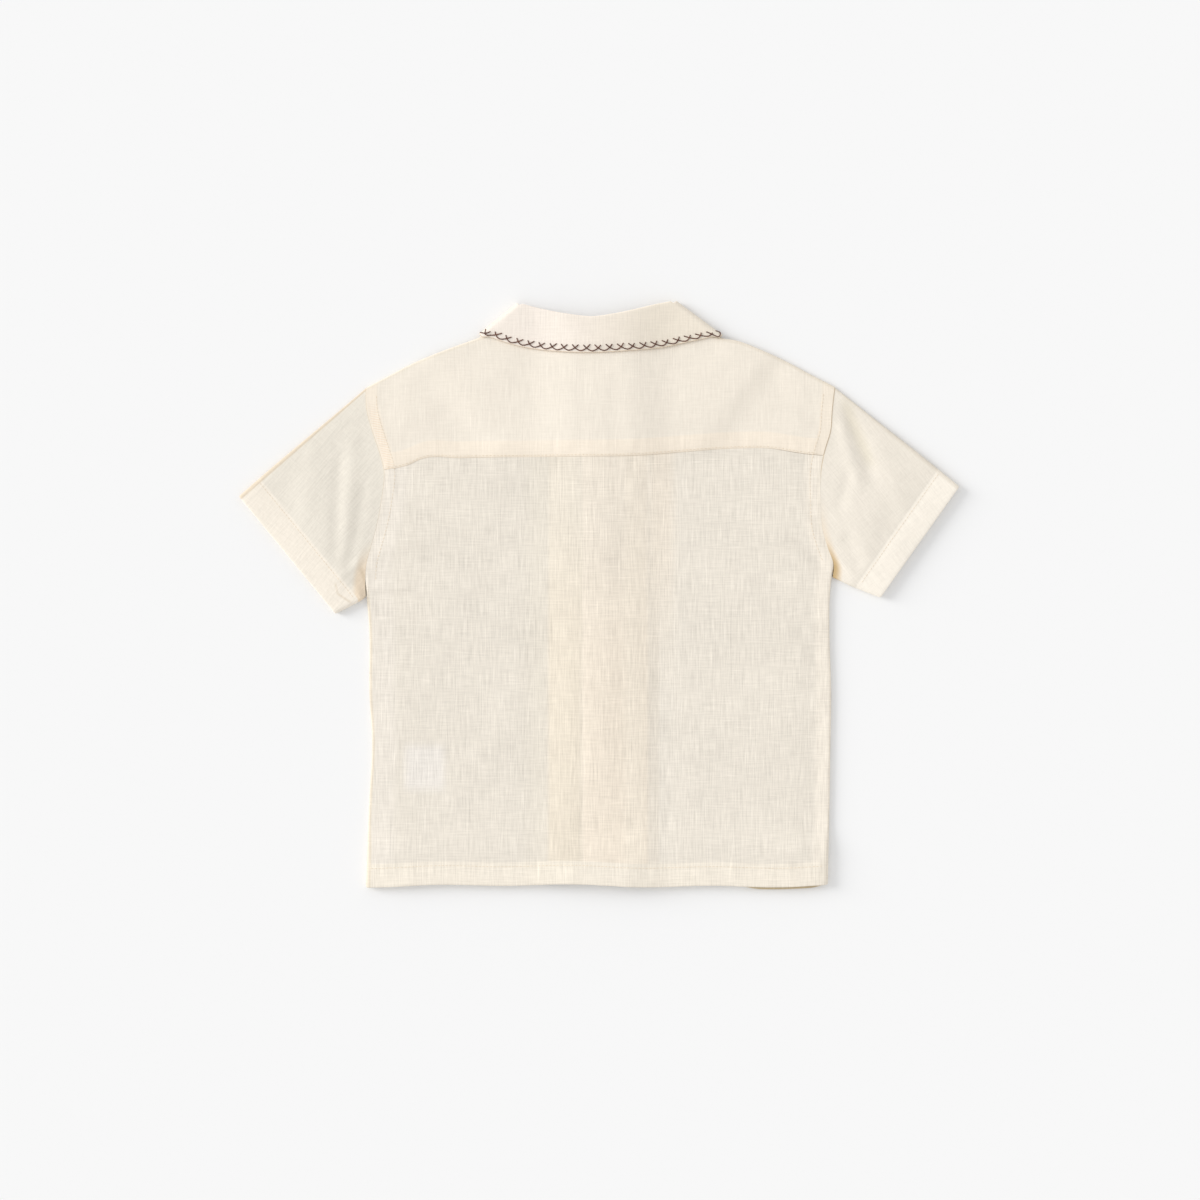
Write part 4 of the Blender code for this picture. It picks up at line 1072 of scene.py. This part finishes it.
# The collar is a straight turned-down camp collar of two layers, without a separate stand. It
# folds along its roll line and wraps round the neck to its points under the fronts.
COLLAR_ENDS_X = {"seam": (-64.0, 62.6), "roll": (-58.1, 54.6), "edge": (-84.1, 86.6)}
COLLAR_FLOOR = COLLAR_WALL / 2
COLLAR_CLOTH = 0.9
COLLAR_FOLD_STEPS = 8
COLLAR_WAVES = 0.22
COLLAR_PRESSED = 0.34
STAND_TIP_WAY = (0.90, 0.43)
FALL_TIP_WAY = (0.65, 0.76)
FrontCollar = namedtuple("FrontCollar", "share seam_x seam_y roll_x roll_y edge_x edge_y")
FRONT_COLLAR = (
    FrontCollar(0.00, 63.6, 180.0, 50.3, 198.0, 83.3, 169.0),
    FrontCollar(0.25, 59.4, 167.6, 39.3, 187.5, 77.3, 153.0),
    FrontCollar(0.50, 45.4, 161.2, 25.8, 176.0, 68.3, 139.0),
    FrontCollar(0.75, 25.7, 158.2, 12.3, 167.5, 57.8, 127.0),
    FrontCollar(1.00, 0.6, 157.2, 0.6, 163.5, 46.3, 117.0),
)
front_collar = {name: line_through(FRONT_COLLAR, "share", name) for name in FrontCollar._fields[1:]}
COLLAR_LINEN = shade(243, 233, 222)
COLLAR_SHADED_LINEN = shade(235, 225, 209)
# Painted shade along the collar's rounded outer edge.
COLLAR_EDGE_PAINTED_SHADE = shade(224, 196, 160)
collar_linen = linen("collar_linen", COLLAR_LINEN, lambda at: [
    (at.x.rise(-50.0, 50.0), COLLAR_SHADED_LINEN),
    # Painted shade on the collar's outer edge.
    (0.6 - at.hem.rise(0.0, 0.9) * 0.6, COLLAR_EDGE_PAINTED_SHADE),
    # Painted shade along the collar's left end, where it turns round to the front.
    (along_line(at, (-84.7, 183.8), (-58.1, 205.5), 3.0) * 0.9, FOLD_PAINTED_SHADE),
], weave=0.85)
Line = namedtuple("Line", "part seam roll edge out tip")
Across = namedtuple("Across", "stand turn fall")


def front_line(share, out):
    """A section of the collar on the front, with 0 at the shoulder and 1 at its point."""
    points = [np.array((CENTRE_FRONT_X + out * front_collar[line + "_x"](share),
                        front_collar[line + "_y"](share))) for line in COLLAR_ENDS_X]
    return Line("front", *points, out, 0.0)


def back_line(share, part="back", out=0.0, tip=0.0):
    """A section of the collar along the back of the neck, or one that turns round its end."""
    points = [np.array((mix(*ends, share), back_neck[line](share)))
              for line, ends in COLLAR_ENDS_X.items()]
    return Line(part, *points, out, tip)


def collar_lines():
    """Sections round the neck, from the left collar point over the back to the right one."""
    shares = spread(5.0, 70.0)
    tips = [math.pi * (part - 4) / 8 for part in range(9)]
    lines = [front_line(share, -1.0) for share in shares[::-1]]
    lines += [back_line(0.0, "side", -1.0, tip) for tip in tips]
    lines += [back_line(share) for share in spread(2.4, 150.0, (0.04, 0.96))]
    lines += [back_line(1.0, "side", 1.0, tip) for tip in tips[::-1]]
    return lines + [front_line(share, 1.0) for share in shares]


def collar_levels(point):
    """Heights of the stand and the fall on the back, and of the stand and the fall on the front."""
    back_z = back_level(*point)
    front_z = front_levels["left" if point[0] < CENTRE_FRONT_X else "right"](*point)
    raised = (COLLAR_WALL - WALL) / 2
    fall_over = WALL / 2 + YOKE_WALL - WALL + SEAM_GAP + COLLAR_WALL / 2
    return back_z + raised, back_z + fall_over, front_z + raised, COLLAR_FLOOR


def collar_point(line, row, inset):
    """A point of the collar's cloth, inset towards the inside of its fold."""
    half = COLLAR_WALL / 2
    stand_way = (line.roll - line.seam) / float(np.linalg.norm(line.roll - line.seam))
    stand_top, fall_top, stand_low, fall_low = collar_levels(line.roll)
    radii = {"back": (fall_top - stand_top) / 2, "front": (stand_low - fall_low) / 2}
    radius = radii.get(line.part, (radii["back"] + radii["front"]) / 2)
    bend = line.roll - stand_way * (radius + half)
    tip_reach = mix(stand_top - stand_low, fall_top - fall_low, row.stand) / 2 + half
    if row.turn == 0.0:
        point = mix(line.seam, bend, row.stand)
    else:
        point = bend + stand_way * (radius - inset) * math.sin(row.turn)
        point = point + (line.edge - bend) * row.fall
    stand_top, fall_top, stand_low, fall_low = collar_levels(point)
    swing = math.cos(row.turn)
    top_radius, low_radius = (fall_top - stand_top) / 2, (stand_low - fall_low) / 2
    top = stand_top + top_radius - (top_radius - inset) * swing
    low = stand_low - low_radius + (low_radius - inset) * swing
    if line.part == "back":
        wave = COLLAR_WAVES * math.sin(point[0] / 13.0 + 1.0)
        wave = wave * ease(row.fall * 2.0) * ease((1.0 - row.fall) * 3.0)
        return np.array((*point, top + wave - COLLAR_PRESSED * ease(row.fall * 4.0 - 2.6)))
    if line.part == "front":
        return np.array((*point, low))
    blend = (row.stand + row.fall) / 2.0
    tip_x, tip_y = (mix(*way, blend) for way in zip(STAND_TIP_WAY, FALL_TIP_WAY))
    tip_radius = (top - low) / 2
    point = point + np.array((line.out * tip_x, tip_y)) * (tip_radius * math.cos(line.tip) - tip_reach)
    return np.array((*point, low + tip_radius + tip_radius * math.sin(line.tip)))


def make_collar():
    rows = [Across(share, 0.0, 0.0) for share in spread(3.0, 14.0)]
    rows += [Across(1.0, turn, 0.0) for turn in half_turn(COLLAR_FOLD_STEPS)]
    rows += [Across(1.0, math.pi, share) for share in spread(2.2, 30.0)[1:]]

    def place(line, row, inset):
        length = float(np.linalg.norm(line.edge - line.roll))
        return collar_point(line, row, inset), (FAR, FAR, length * (1.0 - row.fall))

    return cloth("cloth_collar", "collar", collar_lines(), rows, place, COLLAR_CLOTH, collar_linen)


collar = make_collar()


# Rows of lockstitch in cream sewing thread hold the hems and cuffs, run beside the armholes
# and close the yoke seam. Each stitch is a short plump thread, sunk a little into the cloth.
STITCH_PITCH = 2.6
STITCH_LENGTH = 2.0
STITCH_RADIUS = 0.19
ARMHOLE_STITCH = 7.2
YOKE_STITCH = 1.3
THREAD_CREAM = shade(240, 228, 208)
THREAD_SHADE = shade(228, 210, 184)


def thread_material(name, colour, ply_shade, twist):
    """Twisted thread: fine slanting plies, with painted shade in the grooves between them, mottled at
    random.
    """
    made, wire, shader = new_material(name, 0.62, 0.3)
    spot, x, y, z = wire.place()
    plies = ((x + y * 0.8 + z) * (2000.0 * math.pi / twist)).wave() * 0.5 + 0.5
    mask = plies * 0.55 + spot.noise(320.0).rise(0.4, 0.7) * 0.45
    mask.between(ply_shade, colour).feed(shader, "Base Color")
    plies.emboss(shader, 0.6, 0.00008)
    return made


cream_thread = thread_material("cream_thread", THREAD_CREAM, THREAD_SHADE, 0.5)


def stitch_rows(name, routes):
    """Lay a row of stitches along each route of points, and make them one piece."""
    bm = bmesh.new()
    for route in routes:
        points = np.array(route)
        steps = np.linalg.norm(np.diff(points, axis=0), axis=1)
        reached = np.concatenate(([0.0], np.cumsum(steps)))
        for count in range(int(reached[-1] / STITCH_PITCH)):
            at = (count + 0.5) * STITCH_PITCH
            ends = [Vector([float(np.interp(at + side * STITCH_LENGTH / 2, reached, points[:, axis]))
                            for axis in range(3)]) for side in (-1.0, 1.0)]
            way = (ends[1] - ends[0]).normalized()
            turn = Vector((0.0, 0.0, 1.0)).rotation_difference(way).to_matrix().to_4x4()
            size = Matrix.Diagonal((STITCH_RADIUS, STITCH_RADIUS, STITCH_LENGTH / 2, 1.0))
            middle = Matrix.Translation((ends[0] + ends[1]) / 2)
            bmesh.ops.create_uvsphere(bm, u_segments=6, v_segments=5, radius=1.0,
                                      matrix=Matrix.Scale(MM, 4) @ middle @ turn @ size)
    made = show(name, bm, cream_thread)
    return made


def hem_route(xs, level, height):
    """Along the hem's stitch line, at a height over a layer of cloth."""
    return [(x, hem_line(x) + HEM_STITCH, level(x, hem_line(x) + HEM_STITCH) + height) for x in xs]


def front_hem_route(side):
    out = outward(side)
    xs = np.linspace(out * 158.0, CENTRE_FRONT_X + out * 36.0, 80)
    return hem_route(xs, front_levels[side], -CLOTH / 2)


def armhole_route(side):
    out = outward(side)
    route = []
    for y in np.linspace(UNDERARM_Y[side] + 12.0, shoulder_y(side, body_edge(side, 140.0)) - 4.0, 90):
        x = body_edge(side, y) - out * ARMHOLE_STITCH
        top, wall = (back_top, CLOTH) if y < seam_y(x) else (yoke_top, YOKE_CLOTH)
        route.append((x, y, top(x, y) + wall / 2 + STITCH_RADIUS * 0.2))
    return route


def yoke_route():
    xs = np.linspace(seam_end("left")[0] + 2.0, seam_end("right")[0] - 2.0, 150)
    height = YOKE_CLOTH / 2 + STITCH_RADIUS * 0.1
    return [(x, seam_y(x) + YOKE_STITCH, yoke_top(x, seam_y(x) + YOKE_STITCH) + height) for x in xs]


def cuff_routes(sleeve):
    """Round the upper and the lower layer of a cuff."""
    share = 1.0 - (CUFF_STITCH - TURN_RADIUS - WALL / 2) / (CUFF_REACH - TURN_RADIUS - WALL / 2)
    outer = -CLOTH / 2 - STITCH_RADIUS * 0.2
    return [[sleeve_point(sleeve, station, Row("cuff", share), outer)[0]
             for station in sleeve_stations(sleeve.side) if station.up == up and not station.way]
            for up in (1.0, -1.0)]


back_hem_route = hem_route(np.linspace(-160.0, 158.0, 160), back_top, CLOTH / 2 + STITCH_RADIUS * 0.3)
body_stitches = stitch_rows("stitches_body", [back_hem_route, *map(front_hem_route, SIDES),
                                              yoke_route(), *map(armhole_route, SIDES)])
sleeve_stitches = stitch_rows("stitches_cuffs", cuff_routes(SLEEVES[0]) + cuff_routes(SLEEVES[1]))


# A border of crossed scallops is sewn by hand in thick brown thread along the collar's edge.
# Each scallop's ends run up through its neighbours' ends, so that they cross in small x shapes.
SCALLOP_PITCH = 8.05
SCALLOP_START = 0.42
SCALLOP_HALF = 6.3
SCALLOP_FOOT = 1.15
SCALLOP_CURVE = 0.195
SCALLOP_POWER = 1.7
SCALLOP_LINE = 3.4
SCALLOP_DRIFT = 0.25
SCALLOP_SWAY = 0.12
SCALLOP_HEIGHTS = (0.12, 0.28)
BORDER_STOP = 8.0
BROWN_RADIUS = 0.40
BROWN_LIFT = 0.02
BROWN = shade(112, 58, 24)
BROWN_PLY_SHADE = shade(70, 32, 10)
brown_thread = thread_material("brown_thread", BROWN, BROWN_PLY_SHADE, 0.9)


def on_fall(line, up, height):
    """A point of the collar's fall, so far up from its edge and over its cloth."""
    fall = 1.0 - up / float(np.linalg.norm(line.edge - line.roll))
    return collar_point(line, Across(1.0, math.pi, fall), -COLLAR_CLOTH / 2 - height)


def make_border():
    lines = collar_lines()
    spine = np.array([on_fall(line, SCALLOP_LINE, 0.0) for line in lines])
    reached = np.concatenate(([0.0], np.cumsum(np.linalg.norm(np.diff(spine, axis=0), axis=1))))
    on_back = slice(len(lines) // 4, -len(lines) // 4)
    middle = float(np.interp(0.0, spine[on_back, 0], reached[on_back]))

    def spot(at, up, height):
        place = int(np.clip(np.searchsorted(reached, at) - 1, 0, len(lines) - 2))
        share = (at - reached[place]) / (reached[place + 1] - reached[place])
        return mix(on_fall(lines[place], up, height), on_fall(lines[place + 1], up, height), share)

    border = bpy.data.curves.new("border_thread", "CURVE")
    border.dimensions = "3D"
    border.bevel_depth = BROWN_RADIUS * MM
    border.bevel_resolution = 1
    border.use_fill_caps = True
    reach = int((reached[-1] / 2 - BORDER_STOP) / SCALLOP_PITCH)
    for count in range(-reach, reach + 1):
        centre = middle + (count + SCALLOP_START) * SCALLOP_PITCH
        drift = SCALLOP_DRIFT * math.sin(count * 2.3)
        path = []
        for part in range(13):
            aside = mix(-SCALLOP_HALF, SCALLOP_HALF + drift, part / 12)
            up = SCALLOP_FOOT + SCALLOP_CURVE * abs(aside) ** SCALLOP_POWER
            up += SCALLOP_SWAY * math.sin(count * 1.7)
            over = ease((aside / SCALLOP_HALF + 0.4) * 1.2) * (1.0 - ease(abs(aside) - 5.3))
            path.append(spot(centre + aside, up, SCALLOP_HEIGHTS[0] + SCALLOP_HEIGHTS[1] * over))
            path[-1][2] = max(path[-1][2], BROWN_RADIUS + BROWN_LIFT)
        spline = border.splines.new("POLY")
        spline.points.add(len(path) - 1)
        for vertex, point in zip(spline.points, path):
            vertex.co = ((point[0] - MIDDLE[0]) * MM, (point[1] - MIDDLE[1]) * MM, point[2] * MM, 1.0)
    thread = put("border_thread", border)
    evaluated = thread.evaluated_get(bpy.context.evaluated_depsgraph_get())
    mesh = bpy.data.meshes.new_from_object(evaluated)
    bpy.data.objects.remove(thread, do_unlink=True)
    mesh.materials.clear()
    mesh.materials.append(brown_thread)
    mesh.shade_smooth()
    made = put("embroidered_border", mesh)
    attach(made, "root")
    return made


border = make_border()


# Five flat buttons close the fronts, under the placket against the table. Each is turned from
# horn-coloured resin, with a raised rim, four holes and a cross of thread through them.
BUTTON_STEPS = 40
BUTTON_HOLE = 0.65
BUTTON_HOLE_OFF = 1.15
CROSS_THREAD = (0.24, 0.32, BUTTON_HOLE_OFF * 1.5, 1.0)
CROSS_HEIGHT = 0.46
CROSS_SINK = 0.10
SHANK_RADIUS = 1.5
SHANK_LENGTH = 1.3
SHANK_HEIGHT = 1.15
HORN_PALE = shade(232, 218, 190)
HORN_DARK = shade(196, 172, 132)
Turned = namedtuple("Turned", "radius z")
BUTTON_PROFILE = (
    Turned(0.0, 1.6), Turned(4.55, 1.6), Turned(4.9, 1.4), Turned(5.0, 1.05), Turned(4.85, 0.45),
    Turned(4.5, 0.12), Turned(4.1, 0.05), Turned(3.8, 0.2), Turned(3.5, 0.55), Turned(0.0, 0.6),
)


def horn_material():
    """Cloudy horn-coloured resin with soft darker streaks."""
    made, wire, shader = new_material("horn_resin", 0.32)
    spot = wire.place()[0]
    clouds = spot.noise(260.0, 4.0, 1.4).rise(0.35, 0.68)
    clouds.between(HORN_DARK, HORN_PALE).feed(shader, "Base Color")
    (spot.noise(900.0) * 0.15 + 0.25).feed(shader, "Roughness")
    return made


horn = horn_material()


def make_button(name, y):
    disc = bmesh.new()
    points = [disc.verts.new((stop.radius, 0.0, stop.z)) for stop in BUTTON_PROFILE]
    edges = [disc.edges.new(pair) for pair in zip(points, points[1:])]
    bmesh.ops.spin(disc, geom=points + edges, cent=(0.0, 0.0, 0.0), axis=(0.0, 0.0, 1.0),
                   angle=math.tau, steps=BUTTON_STEPS, use_merge=True)
    bmesh.ops.remove_doubles(disc, verts=disc.verts, dist=0.0005)
    bmesh.ops.recalc_face_normals(disc, faces=disc.faces)
    holes = bmesh.new()
    for turn in range(4):
        angle = math.pi * (turn / 2 + 0.25)
        spot = Vector((math.cos(angle), math.sin(angle), 0.0)) * BUTTON_HOLE_OFF * math.sqrt(2.0)
        spot.z = BUTTON_THICKNESS / 2
        bmesh.ops.create_cone(holes, cap_ends=True, segments=14, radius1=BUTTON_HOLE,
                              radius2=BUTTON_HOLE, depth=4.0, matrix=Matrix.Translation(spot))
    tools = []
    for label, shape in (("disc", disc), ("holes", holes)):
        mesh = bpy.data.meshes.new(name + "_" + label)
        shape.to_mesh(mesh)
        shape.free()
        tools.append(put(name + "_" + label, mesh))
    drill = tools[0].modifiers.new("drill", "BOOLEAN")
    drill.object = tools[1]
    drill.operation = "DIFFERENCE"
    drill.solver = "EXACT"
    evaluated = tools[0].evaluated_get(bpy.context.evaluated_depsgraph_get())
    drilled = bmesh.new()
    drilled.from_mesh(evaluated.to_mesh())
    for tool in tools:
        bpy.data.objects.remove(tool, do_unlink=True)
    bmesh.ops.translate(drilled, vec=(CENTRE_FRONT_X, y, 0.0), verts=drilled.verts)
    bmesh.ops.scale(drilled, vec=(MM, MM, MM), verts=drilled.verts)
    made = show("horn_" + name, drilled, horn, name)
    return made


def button_threads():
    """A cross of thread through each button's holes, and a shank behind it."""
    bm = bmesh.new()
    for y in BUTTON_Y:
        for turn in range(2):
            way = Matrix.Rotation(math.pi * (turn / 2 + 0.25), 4, "Z")
            way = way @ Matrix.Rotation(math.pi / 2, 4, "Y")
            middle = Matrix.Translation((CENTRE_FRONT_X, y, CROSS_HEIGHT - CROSS_SINK * turn))
            size = Matrix.Diagonal(CROSS_THREAD)
            bmesh.ops.create_uvsphere(bm, u_segments=8, v_segments=8, radius=1.0,
                                      matrix=Matrix.Scale(MM, 4) @ middle @ way @ size)
        shank = Matrix.Translation((CENTRE_FRONT_X, y, SHANK_HEIGHT))
        bmesh.ops.create_cone(bm, cap_ends=True, segments=12, radius1=SHANK_RADIUS,
                              radius2=SHANK_RADIUS, depth=SHANK_LENGTH,
                              matrix=Matrix.Scale(MM, 4) @ shank)
    return show("button_threads", bm, cream_thread)


buttons = [make_button("button_" + str(count + 1), y) for count, y in enumerate(BUTTON_Y)]
threads = button_threads()


# The care label is a strip of white woven tape, folded double and sewn into the left side seam
# inside the shirt. It shows from outside only as a paler patch in the back.
LABEL_X = (-146.0, -107.5)
LABEL_Y = (-136.0, -104.5)
LABEL_Z = 1.6
LABEL_TAPE = 0.25
LABEL_FOLD = (-0.4, 0.3, 0.38)
TAPE_WHITE = shade(246, 245, 241)
TAPE_SHADE = shade(236, 235, 230)


def tape_material():
    """White satin tape with fine ribs across it."""
    made, wire, shader = new_material("label_tape", 0.45, 0.2)
    ribs = (wire.place()[2] * (2000.0 * math.pi / 0.5)).wave() * 0.5 + 0.5
    ribs.between(TAPE_SHADE, TAPE_WHITE).feed(shader, "Base Color")
    ribs.emboss(shader, 0.4, 0.00005)
    return made


def make_label():
    bm = bmesh.new()
    bmesh.ops.create_grid(bm, x_segments=16, y_segments=12, size=0.5)
    length, width = LABEL_X[1] - LABEL_X[0], LABEL_Y[1] - LABEL_Y[0]
    for vert in bm.verts:
        share = vert.co.x + 0.5
        bow = 0.15 * math.sin(share * 7.0) * ease(share * 3.0)
        y = sum(LABEL_Y) / 2 + vert.co.y * width
        vert.co = Vector((LABEL_X[0] + share * length, y, LABEL_Z + bow)) * MM
    again = bmesh.ops.duplicate(bm, geom=bm.verts[:] + bm.edges[:] + bm.faces[:])
    second = [item for item in again["geom"] if isinstance(item, bmesh.types.BMVert)]
    bmesh.ops.translate(bm, vec=Vector(LABEL_FOLD) * MM, verts=second)
    bmesh.ops.solidify(bm, geom=bm.faces[:], thickness=LABEL_TAPE * MM)
    bmesh.ops.recalc_face_normals(bm, faces=bm.faces)
    made = show("label_tape", bm, tape_material(), "care_label")
    return made


label = make_label()
